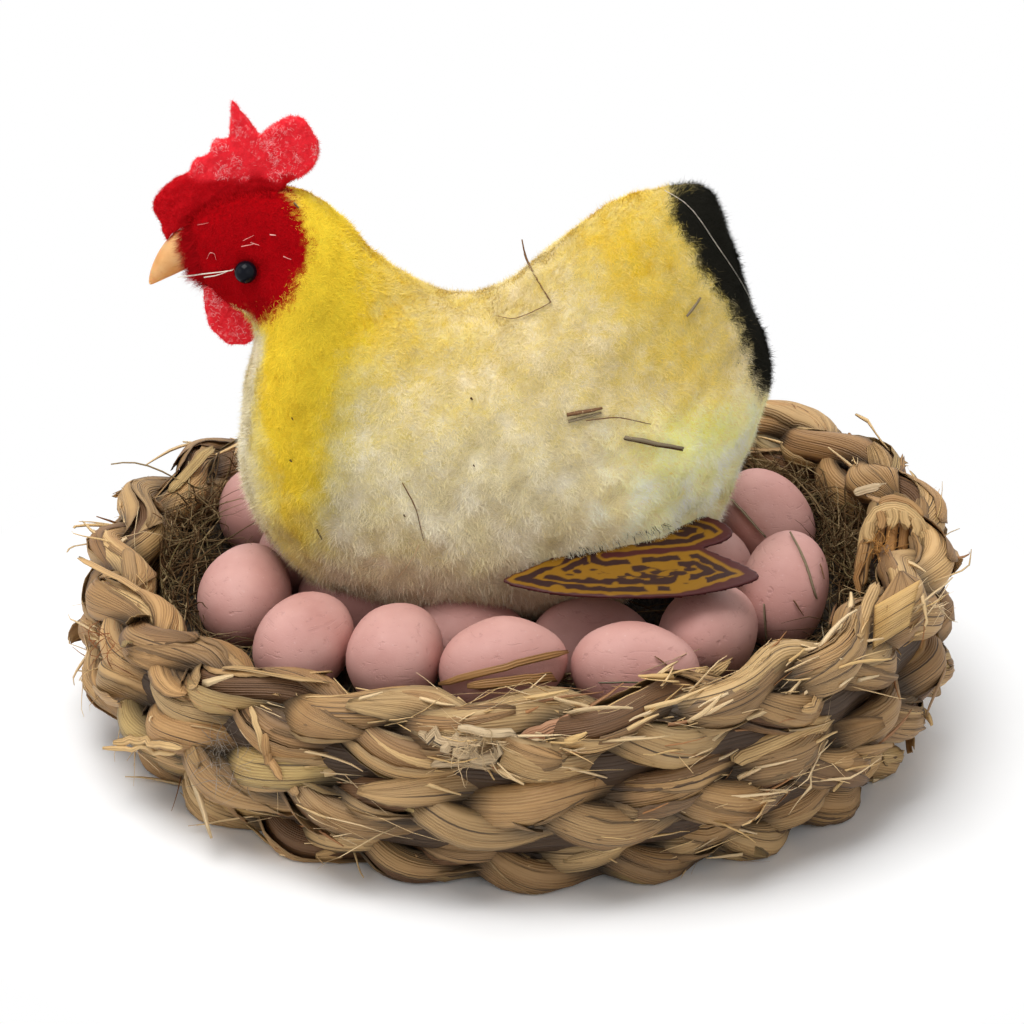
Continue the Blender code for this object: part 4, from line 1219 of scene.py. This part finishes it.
# %% Mat and rope end
def mat_paint():
    paint = Paint("husk_mat", roughness=0.7)
    where = paint.places()
    veins = paint.noise(where, 900.0, 3.0, 0.6)
    bands = paint.noise(where, 160.0, 3.0)
    base = paint.mix(paint.step(bands, 0.35, 0.65), rgba(196, 162, 108), rgba(150, 116, 76))
    paint.feed("Base Color", paint.mix(paint.step(veins, 0.52, 0.64) * 0.7, base, rgba(96, 70, 44)))
    paint.bump(veins + bands, 0.0006, 0.9)
    return paint.material


def dark_end_paint():
    paint = Paint("shaded_rope_end", roughness=0.9)
    cloud = paint.noise(paint.places(), 500.0, 3.0)
    paint.feed("Base Color", paint.mix(cloud, rgba(40, 26, 16), rgba(86, 60, 38)))
    return paint.material


for mat_name, finish in (("nest_mat", mat_paint()), ("rope_end", dark_end_paint())):
    nodes[mat_name].data.materials.clear()
    nodes[mat_name].data.materials.append(finish)

# %% [markdown]
# ## Hay
# Fine dark hay lines the nest. The bed itself is a lumpy cushion, and loose stalks lie over it, most of
# them near the wall, where the eggs leave room.

# %% Hay bed
HAY_DARK = colour(84, 62, 40)
HAY_PALE = colour(168, 146, 108)
HAY_GREEN = colour(104, 92, 60)
BED_VOXEL = 0.0014


def pull_in(paths, limit):
    """Move rows of points towards the nest's middle where they pass an oval of this half-length."""
    inside = np.hypot(paths[..., 0], paths[..., 1] / OVAL)
    paths[..., :2] *= np.minimum(1.0, limit / inside)[..., None]


def hay_paint():
    paint = Paint("pressed_hay", roughness=0.9)
    where = paint.places()
    stalks = paint.noise(paint.mapped(where, (1300.0, 240.0, 600.0)), 1.0, 4.0, 0.65)
    cross = paint.noise(paint.mapped(where, (260.0, 1200.0, 600.0)), 1.0, 4.0, 0.65)
    base = paint.mix(paint.step(stalks, 0.40, 0.62), rgba(32, 25, 17), rgba(78, 63, 42))
    paint.feed("Base Color", paint.mix(paint.step(cross, 0.50, 0.62) * 0.7, base, rgba(26, 20, 14)))
    paint.bump(stalks + cross, 0.0010, 1.0)
    return paint.material


bed = ops_copy("hay_bed", "hay_bed_pressed")
remesh_soft(bed, BED_VOXEL, 2)
rows = points_of(bed)
top_side = smooth_step(0.015, 0.020, rows[:, 2])
lumps = waves(rows, 0.006, 91) * 0.00035 * top_side - 0.0003
move_points(bed, rows + normals_of(bed) * lumps[:, None])
bed.data.materials.append(hay_paint())
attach(bed, "root")
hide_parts("hay_bed")

# %% [markdown]
# At the wall the stalks climb, most of all at the back, and they follow the wall more or less. A stalk that
# would pass through an egg is left out.

# %% Hay stalks
HAY_STALKS = 5800
HAY_REACH = (0.0595, 0.0655)
HAY_TOP = 0.0222
HAY_LOWEST = 0.0215
HAY_HIGHEST = 0.0245
HAY_CLIMB = 0.0125
dice = np.random.default_rng(92)
bearing = dice.uniform(0, 2 * math.pi, HAY_STALKS)
by_wall = dice.random(HAY_STALKS) < 0.55
reach_by_wall = dice.uniform(*HAY_REACH, HAY_STALKS)
reach = np.where(by_wall, reach_by_wall, 0.0640 * dice.uniform(0.45, 1.0, HAY_STALKS))
climbing = smooth_step(-0.55, 0.10, np.sin(bearing)) * by_wall
start_height = HAY_TOP + dice.uniform(0, 0.002, HAY_STALKS) + climbing * dice.uniform(0, 0.009, HAY_STALKS)
starts = np.stack((reach * np.cos(bearing), reach * OVAL * np.sin(bearing), start_height), axis=1)
heading = bearing + math.pi / 2 + dice.normal(0, 0.7, HAY_STALKS)
heading += (dice.random(HAY_STALKS) < 0.5) * math.pi
rising = dice.normal(0.0, 0.12, HAY_STALKS) + climbing * dice.uniform(0, 0.7, HAY_STALKS)
ways = np.stack((np.cos(heading), np.sin(heading), rising), axis=1)
paths = wander(starts, unit(ways), dice.uniform(0.006, 0.020, HAY_STALKS), 9, 0.42, 93)
pull_in(paths, HAY_REACH[1])
paths[..., 2] = np.clip(paths[..., 2], HAY_LOWEST, (HAY_HIGHEST + HAY_CLIMB * climbing)[:, None])
clear = np.ones(HAY_STALKS, dtype=bool)
for node_name in EGG_NODES:
    low, high = (np.array(corner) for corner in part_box(node_name))
    away = np.linalg.norm((paths - (low + high) / 2) / ((high - low) / 2), axis=-1)
    clear &= away.min(axis=1) > 1.02
tones = blend_colours(np.broadcast_to(HAY_DARK, (HAY_STALKS, 3)), HAY_PALE, dice.random(HAY_STALKS) ** 3)
tones = blend_colours(tones, HAY_GREEN, (dice.random(HAY_STALKS) < 0.15) * 0.7)
straw_paint = fibre_paint("hay_stalks")
widths = dice.uniform(0.00018, 0.00050, HAY_STALKS)
hay = add_reeds("hay_stalks", paths[clear], widths[clear], 0.5, tones[clear], straw_paint)
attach(hay, "root")
print("stalks clear of the eggs:", clear.sum(), "triangles:", triangles_of(hay))


# %% [markdown]
# ## Printed wings
# The wings are thin printed sheets: a maroon edge, an ochre field and dark dashes that run along two long
# feathers. The pattern is worked out from how far a place is from the sheet's edge and along its lobe.

# %% Wings
OCHRE = colour(130, 90, 8)
MAROON = colour(66, 20, 20)
DARK_DASH = colour(42, 15, 14)
SHEET_VOXEL = 0.00026


def wing_paint():
    paint, tint = tinted_paint("printed_feather_sheet", 0.50, Specular_IOR_Level=0.25)
    cloud = paint.noise(paint.places(), 900.0, 2.0)
    paint.feed("Base Color", paint.mix(cloud * 0.25, tint, (0.55, 0.50, 0.45, 1.0), "MULTIPLY"))
    paint.bump(paint.noise(paint.places(), 380.0, 2.0), 0.00015, 0.4)
    return paint.material


feather_print = wing_paint()


def outline_of(piece):
    """The sharp edges of a flat sheet, seen from above, as rows of start and end."""
    work = bmesh.new()
    work.from_mesh(piece.data)
    found = []
    for edge in work.edges:
        start, end = (vert.co.xy for vert in edge.verts)
        if edge.is_manifold and edge.calc_face_angle() > 1.0 and (end - start).length > 1e-5:
            found.append((*start, *end))
    work.free()
    return np.array(found)


def edge_distance(flat, segments):
    """Distance from each flat point to the nearest of some straight edges."""
    nearest = np.full(len(flat), np.inf)
    for segment in segments:
        nearest = np.minimum(nearest, segment_distance(flat, segment[:2], segment[2:] - segment[:2]))
    return nearest


def dress_wing(node_name, side):
    piece = ops_copy(node_name, node_name + "_sheet")
    segments = outline_of(piece)
    remesh_soft(piece, SHEET_VOXEL, 2)
    rows = points_of(piece)
    low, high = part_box(node_name)
    length, breadth = high.x - low.x, high.y - low.y
    near_y = min(abs(low.y), abs(high.y))
    notch = (low.x + 0.78 * length, side * (near_y + 0.41 * breadth))
    root = (low.x + 0.40 * length, side * (near_y + 0.53 * breadth))
    edge = edge_distance(rows[:, :2], segments)
    rib = edge_distance(rows[:, :2], np.array(((*notch, *root),)))
    along = (rows[:, 0] - low.x) / length
    tip = smooth_step(0.60, 0.95, along)
    wobble = waves(rows, 0.0030, 94) * 0.00010
    depth = np.minimum(edge - 0.0004 - 0.0017 * tip, rib - 0.0007) + wobble
    tint = blend_colours(np.broadcast_to(MAROON, rows.shape), OCHRE, smooth_step(-0.0001, 0.0002, depth))
    feathered = waves(rows * (0.7, 1.5, 1.0), 0.0024, 95)
    first_ring = smooth_step(0.0008, 0.0010, depth) * smooth_step(0.0024, 0.0022, depth + feathered * 0.00015)
    first_ring *= smooth_step(-0.9, -0.6, waves(rows, 0.0060, 96))
    second_ring = smooth_step(0.0028, 0.0030, depth) * smooth_step(0.0046, 0.0044, depth - feathered * 0.0002)
    second_ring *= smooth_step(-0.6, -0.3, waves(rows, 0.0050, 97))
    heart = smooth_step(0.0047, 0.0050, depth) * smooth_step(-0.2, 0.1, feathered)
    tint = blend_colours(tint, DARK_DASH, np.clip(first_ring + second_ring + heart, 0, 1))
    colour_points(piece.data, tint)
    piece.data.materials.append(feather_print)
    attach(piece, "root")
    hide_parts(node_name)
    print(node_name, "triangles:", triangles_of(piece))


dress_wing("wing_left", -1)
dress_wing("wing_right", 1)

# %% [markdown]
# ## Loose husk on the wall
# Dry husk splits, so the real plait is shaggy: slivers point along the rope everywhere, leaf ends stand
# off, and a few places are frayed to a tangle.

# %% Slivers and leaf ends
# Each fray: its bearing in degrees, its turn of the wall, how many degrees it spreads, and its slivers
FRAYS = (
    (-95.0, 2, 8.0, 70), (-84.0, 2, 7.0, 60), (-70.0, 2, 7.0, 45), (-60.0, 1, 5.0, 35), (-48.0, 2, 8.0, 50),
    (-50.0, 1, 8.0, 30), (-30.0, 2, 7.0, 30), (193.0, 1, 5.0, 45), (200.0, 0, 6.0, 25), (-128.0, 0, 8.0, 30),
    (-112.0, 1, 6.0, 30), (-60.0, 0, 8.0, 25), (8.0, 2, 6.0, 25), (170.0, 2, 6.0, 20),
)
PLAIN_SLIVERS = 420
STRAW_PALE = colour(226, 200, 160)
STRAW_RUST = colour(150, 96, 62)


def wall_places(dice, bearing, row):
    """Points on the outer or upper face of a turn, with the way along the rope and the way out."""
    count = len(bearing)
    strand = dice.integers(0, 3, count)
    around = np.where(row == 2, dice.uniform(-0.8, 2.2, count), dice.uniform(-0.9, 0.9, count))
    start, after, core = (np.empty((count, 3)) for _ in range(3))
    for turn in range(3):
        for each in range(3):
            mine = (row == turn) & (strand == each)
            lift = np.full(mine.sum(), 0.0005)
            start[mine] = strand_surface(turn, each, bearing[mine], around[mine], lift)
            after[mine] = strand_surface(turn, each, bearing[mine] + 0.02, around[mine], lift)
            core[mine] = strand_surface(turn, each, bearing[mine], around[mine], lift - 0.0022)
    return start, unit(after - start), unit(start - core)


def keep_near(paths, proud):
    """Pull rows of points in, so that none stands far outside the wall or above its rim."""
    pull_in(paths, WALL_RADIUS + HALF_ROPE + proud)
    bearing = np.arctan2(paths[..., 1] / OVAL, paths[..., 0])
    paths[..., 2] = np.clip(paths[..., 2], 0.0005, row_height(2, bearing) + HALF_HEIGHT + proud + 0.001)
    return paths


def slivers(seed):
    """Thin split pieces along the rope, some all round the wall and the rest in the frays."""
    dice = np.random.default_rng(seed)
    bearing = [dice.uniform(0, 2 * math.pi, PLAIN_SLIVERS)]
    row = [dice.choice((0, 1, 1, 2, 2, 2), PLAIN_SLIVERS)]
    for middle, turn, spread, count in FRAYS:
        bearing.append(np.radians(dice.normal(middle, spread / 2, count)))
        row.append(np.full(count, turn))
    bearing, row = np.concatenate(bearing), np.concatenate(row)
    start, ahead, outward = wall_places(dice, bearing, row)
    count = len(bearing)
    turned = np.where(dice.random(count) < 0.72, 1.0, -1.0)[:, None]
    stand = dice.uniform(0.02, 0.40, (count, 1)) ** 1.3
    ways = unit(ahead * turned + outward * stand + dice.normal(0, 0.16, (count, 3)))
    lengths = np.clip(dice.gamma(3.0, 0.0024, count), 0.003, 0.018)
    paths = keep_near(wander(start - ways * 0.001, ways, lengths, 6, 0.16, seed + 1), 0.0018)
    tones = blend_colours(np.broadcast_to(HUSK_PALE, (count, 3)), STRAW_PALE, dice.random(count))
    tones = blend_colours(tones, STRAW_RUST, (dice.random(count) < 0.18) * 0.8)
    widths = np.clip(dice.gamma(2.0, 0.00028, count), 0.00018, 0.0014)
    piece = add_reeds("husk_slivers", paths, widths, 0.25, tones, straw_paint, taper=(0.9, 1.0, 0.35))
    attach(piece, "root")
    print("slivers:", count)


def leaf_ends(seed, count):
    """Short ends of leaf that stand off the wall, most of them along the rope."""
    dice = np.random.default_rng(seed)
    bearing = dice.uniform(0, 2 * math.pi, count)
    row = dice.choice((0, 1, 2, 2), count)
    start, ahead, outward = wall_places(dice, bearing, row)
    turned = np.where(dice.random(count) < 0.75, 1.0, -1.0)[:, None]
    stand = dice.uniform(-0.05, 0.10, (count, 1))
    ways = unit(ahead * turned + outward * stand + dice.normal(0, 0.10, (count, 3)))
    lengths = dice.uniform(0.009, 0.020, count)
    paths = keep_near(wander(start - ways * 0.003, ways, lengths, 9, 0.10, seed + 1), 0.0004)
    paths[..., 2] = np.maximum(paths[..., 2], 0.0012)
    facing = np.broadcast_to(outward[:, None, :], paths.shape)
    widths = dice.uniform(0.0016, 0.0042, count)
    cups = dice.uniform(0.3, 1.6, count)
    add_ribbons("leaf_ends", paths, facing, widths, cups, leaf_tones(count, dice), seed + 2)


slivers(201)
leaf_ends(211, 60)

# %% [markdown]
# Some pieces are too plain in the photograph to leave to chance. Their places are given on the picture
# plane, in mm from its middle, and sight lines find the surface that they lie on.

# %% Straws that can be told apart
BARK = colour(124, 92, 66)
GREY_TWIG = colour(136, 122, 98)
DARK_TWIG = colour(84, 60, 42)
GREEN_TWIG = colour(132, 138, 112)
WHITE_HAIR = colour(232, 224, 210)
PINK_HAIR = colour(238, 176, 168)
# Each straw: its stops, its width in mm and its colour
STRAWS = (
    (((2.2, 49.5), (2.9, 45.8), (7.3, 38.2)), 0.45, BARK),
    (((7.3, 38.2), (4.2, 36.4), (0.5, 34.8), (-2.7, 35.5)), 0.35, BARK),
    (((9.9, 17.8), (16.5, 19.0)), 0.80, BARK),
    (((10.2, 16.6), (16.3, 18.2)), 0.70, GREY_TWIG),
    (((13.4, 16.8), (19.0, 17.6), (25.3, 16.1)), 0.40, BARK),
    (((20.3, 13.9), (30.9, 11.7)), 1.10, GREY_TWIG),
    (((20.3, 13.6), (30.9, 11.3)), 0.60, DARK_TWIG),
    (((31.8, 35.9), (34.4, 39.3)), 0.75, GREY_TWIG),
    (((-20.1, 5.5), (-17.8, 1.3), (-16.1, -5.1)), 0.35, BARK),
    (((-17.0, -5.6), (-17.8, -7.9), (-20.9, -11.7)), 0.25, STRAW_PALE),
    (((-40.3, 17.4), (-39.9, 16.8)), 0.45, DARK_TWIG),
    (((-40.4, 9.7), (-40.0, 9.3)), 0.40, DARK_TWIG),
    (((-35.5, -2.9), (-34.6, -4.8)), 0.35, DARK_TWIG),
    (((-7.6, 20.7), (-7.2, 20.3)), 0.40, DARK_TWIG),
    (((-19.8, -0.3), (-19.5, -0.8)), 0.35, DARK_TWIG),
    (((-7.0, 8.7), (-6.7, 8.3)), 0.30, DARK_TWIG),
    (((-40.2, 56.2), (-39.3, 55.3)), 0.55, GREY_TWIG),
    (((-60.8, 43.2), (-56.5, 43.7), (-51.0, 44.4)), 0.32, WHITE_HAIR),
    (((-56.0, 43.2), (-53.5, 43.6), (-50.8, 44.6)), 0.28, WHITE_HAIR),
    (((-57.3, 52.4), (-55.3, 52.8)), 0.16, PINK_HAIR),
    (((-49.2, 49.6), (-47.2, 50.6)), 0.16, PINK_HAIR),
    (((-47.8, 49.3), (-46.1, 48.8)), 0.16, PINK_HAIR),
    (((-49.5, 48.6), (-47.2, 49.0)), 0.14, PINK_HAIR),
    (((-44.3, 50.7), (-43.2, 50.6)), 0.25, PINK_HAIR),
    (((-41.9, 46.8), (-40.4, 46.2)), 0.14, PINK_HAIR),
    (((-61.5, 50.9), (-61.1, 49.6)), 0.14, PINK_HAIR),
    (((-55.6, 46.4), (-55.2, 47.6), (-54.2, 47.4), (-54.0, 46.2)), 0.14, PINK_HAIR),
    (((28.0, 58.4), (32.6, 56.2), (37.1, 48.9), (40.8, 43.4), (43.6, 37.9)), 0.28, WHITE_HAIR),
    (((40.6, 2.2), (46.5, -4.6)), 0.80, GREY_TWIG),
    (((50.9, -4.2), (53.3, -8.8), (55.4, -16.1), (57.3, -23.4)), 0.65, GREY_TWIG),
    (((56.0, -9.7), (56.7, -12.4)), 0.45, BARK),
    (((51.4, -16.1), (53.1, -18.8)), 0.35, BARK),
    (((46.3, -16.8), (46.8, -23.4)), 0.60, GREY_TWIG),
    (((60.4, -6.0), (61.5, -9.7), (60.9, -13.4), (59.7, -17.0), (58.7, -20.7)), 0.65, BARK),
    (((65.5, -8.8), (62.8, -11.5), (61.2, -14.3)), 0.50, BARK),
    (((23.4, -29.3), (29.0, -27.2), (34.4, -24.9)), 0.30, STRAW_PALE),
    (((16.1, -31.1), (27.1, -31.1)), 0.45, GREEN_TWIG),
    (((26.0, -26.5), (30.0, -29.4)), 0.40, BARK),
    (((-73.2, 8.4), (-69.9, 9.2), (-66.2, 8.4), (-61.7, 6.2), (-57.5, 3.7), (-54.9, 0.7), (-53.6, -2.4),
      (-53.6, -6.0)), 0.70, HAY_PALE),
    (((-59.1, 8.8), (-59.3, 2.2), (-58.9, -8.0)), 0.40, HAY_PALE),
    (((-55.0, 7.0), (-55.6, 0.5)), 0.50, GREY_TWIG),
    (((-52.0, 5.5), (-54.5, 1.0), (-55.8, -3.0)), 0.45, HAY_PALE),
    (((-66.0, -0.5), (-61.5, -3.2)), 0.35, BARK),
    (((-58.0, -8.5), (-57.4, -16.0)), 0.40, HAY_PALE),
    (((-79.2, -8.6), (-77.0, -9.6)), 0.35, GREY_TWIG),
)

seen_trees = [tree_of(skin)] + [tree_of(shell) for shell in egg_shells]
seen_trees += [tree_of(bpy.data.objects[name + "_leaves"]) for name in ROW_NODES]
runs = np.array([laid_run(seen_trees, stops, 0.0004 + width * 0.0003) for stops, width, _ in STRAWS])
straws = add_reeds("told_straws", runs, np.array([width for _, width, _ in STRAWS]) * MM, 0.45,
                   np.array([tone for _, _, tone in STRAWS]), straw_paint, taper=(0.8, 1.0, 0.6))
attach(straws, "root")
print("straws:", len(STRAWS))

# %% [markdown]
# The same sight lines place the larger pieces. A ribbon follows its stops and faces the camera, and the
# flat patches of the folded leaf hang between four corners, as does a near-black patch that is a painted
# shadow in the rope end's hollow.

# %% Leaves that can be told apart
ORANGE_LEAF = colour(184, 134, 76)
WHITE_LEAF = colour(196, 170, 132)
PINK_LEAF = colour(176, 128, 92)
LINT_GREY = colour(150, 140, 128)
# Each leaf: its stops, its width in mm, how far it is cupped, its colour and its height over the surface
TOLD_LEAVES = (
    (((-12.3, -31.1), (-2.2, -28.5), (9.2, -25.8)), 1.3, 0.5, ORANGE_LEAF * 0.80, 0.0012),
    (((-7.7, -31.5), (1.5, -30.4), (9.9, -29.5)), 1.7, 0.5, ORANGE_LEAF * 0.70, 0.0012),
    (((1.1, -40.6), (8.0, -38.8), (17.4, -36.6)), 3.0, 1.0, PINK_LEAF, 0.0012),
    (((-16.0, -40.5), (-11.0, -41.8), (-6.0, -41.0)), 2.2, 2.0, WHITE_LEAF, 0.0015),
    (((-14.5, -45.0), (-9.0, -44.2), (-3.0, -45.8)), 1.8, 2.2, WHITE_LEAF, 0.0014),
    (((-12.0, -42.6), (-7.5, -43.6), (-2.5, -42.6)), 2.4, 1.6, WHITE_LEAF * 0.92, 0.0020),
    (((-9.5, -39.2), (-5.0, -40.2), (0.0, -39.8)), 1.6, 1.8, STRAW_PALE * 0.85, 0.0016),
    (((27.0, -34.0), (33.0, -31.0), (39.0, -27.0)), 2.2, 1.0, HUSK_PALE, 0.0012),
    (((40.0, -46.0), (48.0, -43.0), (57.0, -38.5)), 3.6, 1.2, HUSK_PALE * 0.95, 0.0010),
    (((-72.0, -41.8), (-66.0, -41.6), (-60.0, -42.4)), 1.6, 1.4, HUSK_PALE, 0.0012),
    (((-73.8, -42.6), (-67.0, -42.8), (-61.0, -43.2)), 0.9, 1.4, HUSK_PALE, 0.0014),
    (((-45.0, -40.5), (-44.3, -45.0), (-42.0, -48.5)), 1.5, 1.2, HUSK_TAN, 0.0008),
    (((-47.5, -36.0), (-46.0, -40.0), (-44.8, -44.0)), 1.1, 1.2, HUSK_PALE * 0.9, 0.0008),
)
STUB_AT = (70.2, -4.0)
STUB_LEAVES = (
    (((62.6, 3.4), (64.8, 4.1), (67.3, 4.7)), 1.6, 0.3, STRAW_PALE * 0.85, 0.0),
    (((64.2, -11.6), (64.6, -7.0), (65.2, -3.3), (66.8, -0.4), (69.4, 0.6), (71.8, 0.0), (73.8, -1.7),
      (75.3, -4.2), (76.0, -7.4)), 3.1, 0.9, HUSK_PALE * 0.95, 0.0016),
    (((67.2, 1.3), (69.6, 2.0), (72.4, 1.2), (74.6, -0.8)), 2.6, 0.8, HUSK_TAN, 0.0010),
    (((63.7, -13.6), (64.0, -9.5), (65.0, -5.0)), 2.6, 0.8, HUSK_TAN, 0.0020),
    (((67.6, -0.9), (67.0, -4.6), (66.5, -7.8)), 2.3, 1.8, ORANGE_LEAF, 0.0006),
    (((69.9, -0.9), (69.4, -4.6), (69.2, -7.6)), 2.3, 1.8, ORANGE_LEAF * 1.1, 0.0008),
    (((72.0, -1.3), (71.7, -4.6), (71.4, -7.4)), 2.1, 1.8, ORANGE_LEAF * 0.9, 0.0006),
    (((73.9, -2.6), (73.9, -5.6), (73.4, -8.6)), 2.0, 1.8, ORANGE_LEAF * 0.7, 0.0004),
    (((75.3, -5.5), (76.0, -9.5), (76.3, -13.5), (75.3, -17.0)), 3.0, 1.4, HUSK_TAN, 0.0004),
    (((65.6, -1.8), (65.2, -4.0), (66.0, -5.6)), 2.2, 0.9, HUSK_PALE * 0.98, 0.0026),
    (((67.2, 0.2), (67.8, -1.6), (67.4, -3.2)), 1.6, 0.8, HUSK_TAN * 1.05, 0.0028),
    (((69.4, 0.6), (69.8, -1.0), (69.2, -2.6)), 2.4, 0.9, HUSK_PALE, 0.0028),
    (((71.6, 0.2), (71.8, -1.4), (72.4, -2.8)), 1.7, 0.8, HUSK_PALE * 0.92, 0.0028),
    (((73.6, -1.2), (74.2, -3.0), (73.8, -4.4)), 1.9, 1.0, HUSK_PALE * 0.95, 0.0028),
    (((74.8, -3.6), (75.4, -5.8), (76.4, -7.4)), 1.9, 0.9, HUSK_PALE, 0.0026),
    (((64.2, -9.0), (63.0, -12.0), (63.6, -14.6)), 1.3, 1.2, ORANGE_LEAF * 0.9, 0.0024),
    (((71.8, -9.4), (73.4, -9.2), (75.0, -9.8)), 2.7, 2.6, HUSK_BROWN * 1.15, 0.0016),
)
HOLLOW_CORNERS = ((65.2, -2.6), (75.6, -3.0), (75.4, -13.0), (65.6, -12.6))
FOLD_CORNERS = ((66.4, -17.2), (74.7, -12.4), (72.6, -21.1), (66.0, -25.3))
FLAP_CORNERS = ((66.4, -17.2), (70.8, -10.8), (71.6, -10.8), (74.7, -12.4))
PATCH_THICKNESS = 0.00015


def on_sight(stop, away):
    """The place on a sight line that is so far from the camera."""
    return np.array(camera.matrix_world.translation + sight_way(stop) * away)


def camera_distance(stop):
    place = seen(seen_trees, (stop,))[0][0]
    return (Vector(place) - camera.matrix_world.translation).length


def ribbon_runs(name, leaves, seed, away=None):
    """Ribbons at their stops: on what is seen there, or all of them at one distance from the camera."""
    steps = 14
    runs = []
    for stops, _, _, _, rise in leaves:
        if away is None:
            runs.append(laid_run(seen_trees, stops, rise, steps, 4))
            continue
        between = between_stops(stops, np.linspace(0, len(stops) - 1, steps))
        runs.append(np.array([on_sight(stop, away - rise) for stop in between]))
    runs = np.array(runs)
    facing = unit(np.array(camera.matrix_world.translation) - runs)
    widths, cups = (np.array([leaf[k] for leaf in leaves]) for k in (1, 2))
    add_ribbons(name, runs, facing, widths * MM, cups, np.array([leaf[3] for leaf in leaves]), seed)


def leaf_patch(name, corners, away, bulge, tone, dark_end):
    """A flat piece of leaf between four corners on the picture plane, a little domed, with a painted
    highlight along its first edge and painted shade that grows across it by dark_end.
    """
    first, second, third, fourth = (on_sight(corner, away[k]) for k, corner in enumerate(corners))
    along = np.linspace(0, 1, 16)[:, None, None]
    over = np.linspace(0, 1, 12)[None, :, None]
    near_side = first * (1 - along) + second * along
    far_side = fourth * (1 - along) + third * along
    grid = near_side * (1 - over) + far_side * over
    toward = unit(np.array(camera.matrix_world.translation) - grid)
    grid = grid + toward * (np.sin(math.pi * along) * np.sin(math.pi * over) * bulge)
    edge_light = 1.0 + 0.25 * (over < 0.06) - dark_end * over
    width = np.linalg.norm(fourth - first)
    length = np.linalg.norm(second - first)
    piece = add_strips(name, grid[None], tone * edge_light, width, length)
    apply_modifier(piece, "SOLIDIFY", thickness=PATCH_THICKNESS, offset=0.0)
    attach(piece, "root")


ribbon_runs("told_leaves", TOLD_LEAVES, 221)
stub_away = camera_distance(STUB_AT) - 0.0035
# Painted shadow: a near-black sheet fills the hollow of the rope's end.
leaf_patch("stub_hollow_shadow", HOLLOW_CORNERS, (stub_away + 0.0012,) * 4, -0.0005, HUSK_DARK * 0.35, 0.0)
ribbon_runs("stub_leaves", STUB_LEAVES, 231, stub_away)
# Painted shade: the flap above the fold is painted darker than the leaf below it, and both patches darken
# across by dark_end.
near_fold = camera_distance((67.0, -25.5)) - 0.0015
fold_line = near_fold + 0.003
far_flap = near_fold + 0.0075
leaf_patch("folded_leaf", FOLD_CORNERS, (fold_line, fold_line, near_fold, near_fold), 0.0018,
           HUSK_PALE * (0.82, 0.77, 0.62), 0.20)
leaf_patch("folded_flap", FLAP_CORNERS, (fold_line, far_flap, far_flap, fold_line), 0.0003,
           HUSK_TAN * 0.85, 0.30)

# %% [markdown]
# A ball of grey lint hangs at the lower left, and curled threads stick out of the rope's end and the frays.


# %% Lint and curled threads
def lint(name, stop, radius, count, lengths, width, bend, tone, seed):
    """A loose ball of curled threads on the surface that is seen at a stop."""
    dice = np.random.default_rng(seed)
    middle = seen(seen_trees, (stop,))
    starts = middle[0] + middle[1] * 0.001 + dice.normal(0, radius / 2, (count, 3))
    ways = unit(dice.normal(size=(count, 3)))
    paths = wander(starts, ways, dice.uniform(*lengths, count), 12, bend, seed + 1)
    tones = tone * dice.uniform(0.75, 1.2, (count, 1))
    piece = add_reeds(name, paths, dice.uniform(0.7, 1.3, count) * width, 0.5, tones, straw_paint)
    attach(piece, "root")


lint("lint_ball", (-52.4, -44.4), 0.0028, 90, (0.003, 0.007), 0.00012, 1.1, LINT_GREY, 301)
lint("lint_loose", (-49.5, -46.5), 0.0050, 26, (0.004, 0.010), 0.00010, 0.8, LINT_GREY, 303)
lint("stub_curls", (67.6, -7.5), 0.0016, 40, (0.002, 0.005), 0.00022, 1.0, ORANGE_LEAF, 305)
lint("left_fray", (-74.0, -24.0), 0.0030, 24, (0.003, 0.008), 0.00018, 0.5, STRAW_RUST, 307)
lint("right_fray", (76.5, -17.5), 0.0012, 14, (0.003, 0.006), 0.00020, 0.9, STRAW_PALE, 309)
lint("front_fray", (-8.0, -42.0), 0.0045, 70, (0.003, 0.006), 0.00022, 0.7, WHITE_LEAF, 311)
lint("stub_fringe", (71.4, -6.2), 0.0020, 46, (0.002, 0.005), 0.00022, 1.0, ORANGE_LEAF * 0.8, 313)

# %% [markdown]
# Where the flock ends over the wing sheet, short stiff bristles stick out, some of them dark.

# %% Fringe over the wing
FRINGE_LINE = ((-1.5, -12.2), (6.0, -9.4), (13.5, -7.0), (21.5, -4.6), (29.8, -2.4))
FRINGE_COUNT = 220
dice = np.random.default_rng(321)
stops = between_stops(FRINGE_LINE, dice.uniform(0, len(FRINGE_LINE) - 1, FRINGE_COUNT))
stops[:, 1] += dice.uniform(0.0, 0.9, FRINGE_COUNT)
starts, facing = seen(seen_trees[:1], stops)
ways = unit(facing * 0.5 + (0.35, 0.0, -0.75) + dice.normal(0, 0.35, (FRINGE_COUNT, 3)))
paths = wander(starts, ways, dice.uniform(0.0010, 0.0021, FRINGE_COUNT), 6, 0.3, 323)
dark = (dice.random(FRINGE_COUNT) < 0.40)[:, None]
tones = np.where(dark, SOOT * 2.8, WHITE_DOWN * 0.85) * dice.uniform(0.8, 1.1, (FRINGE_COUNT, 1))
widths = dice.uniform(0.00010, 0.00018, FRINGE_COUNT)
fringe = add_reeds("wing_fringe", paths, widths, 0.4, tones, straw_paint)
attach(fringe, "root")
print("fringe triangles:", triangles_of(fringe))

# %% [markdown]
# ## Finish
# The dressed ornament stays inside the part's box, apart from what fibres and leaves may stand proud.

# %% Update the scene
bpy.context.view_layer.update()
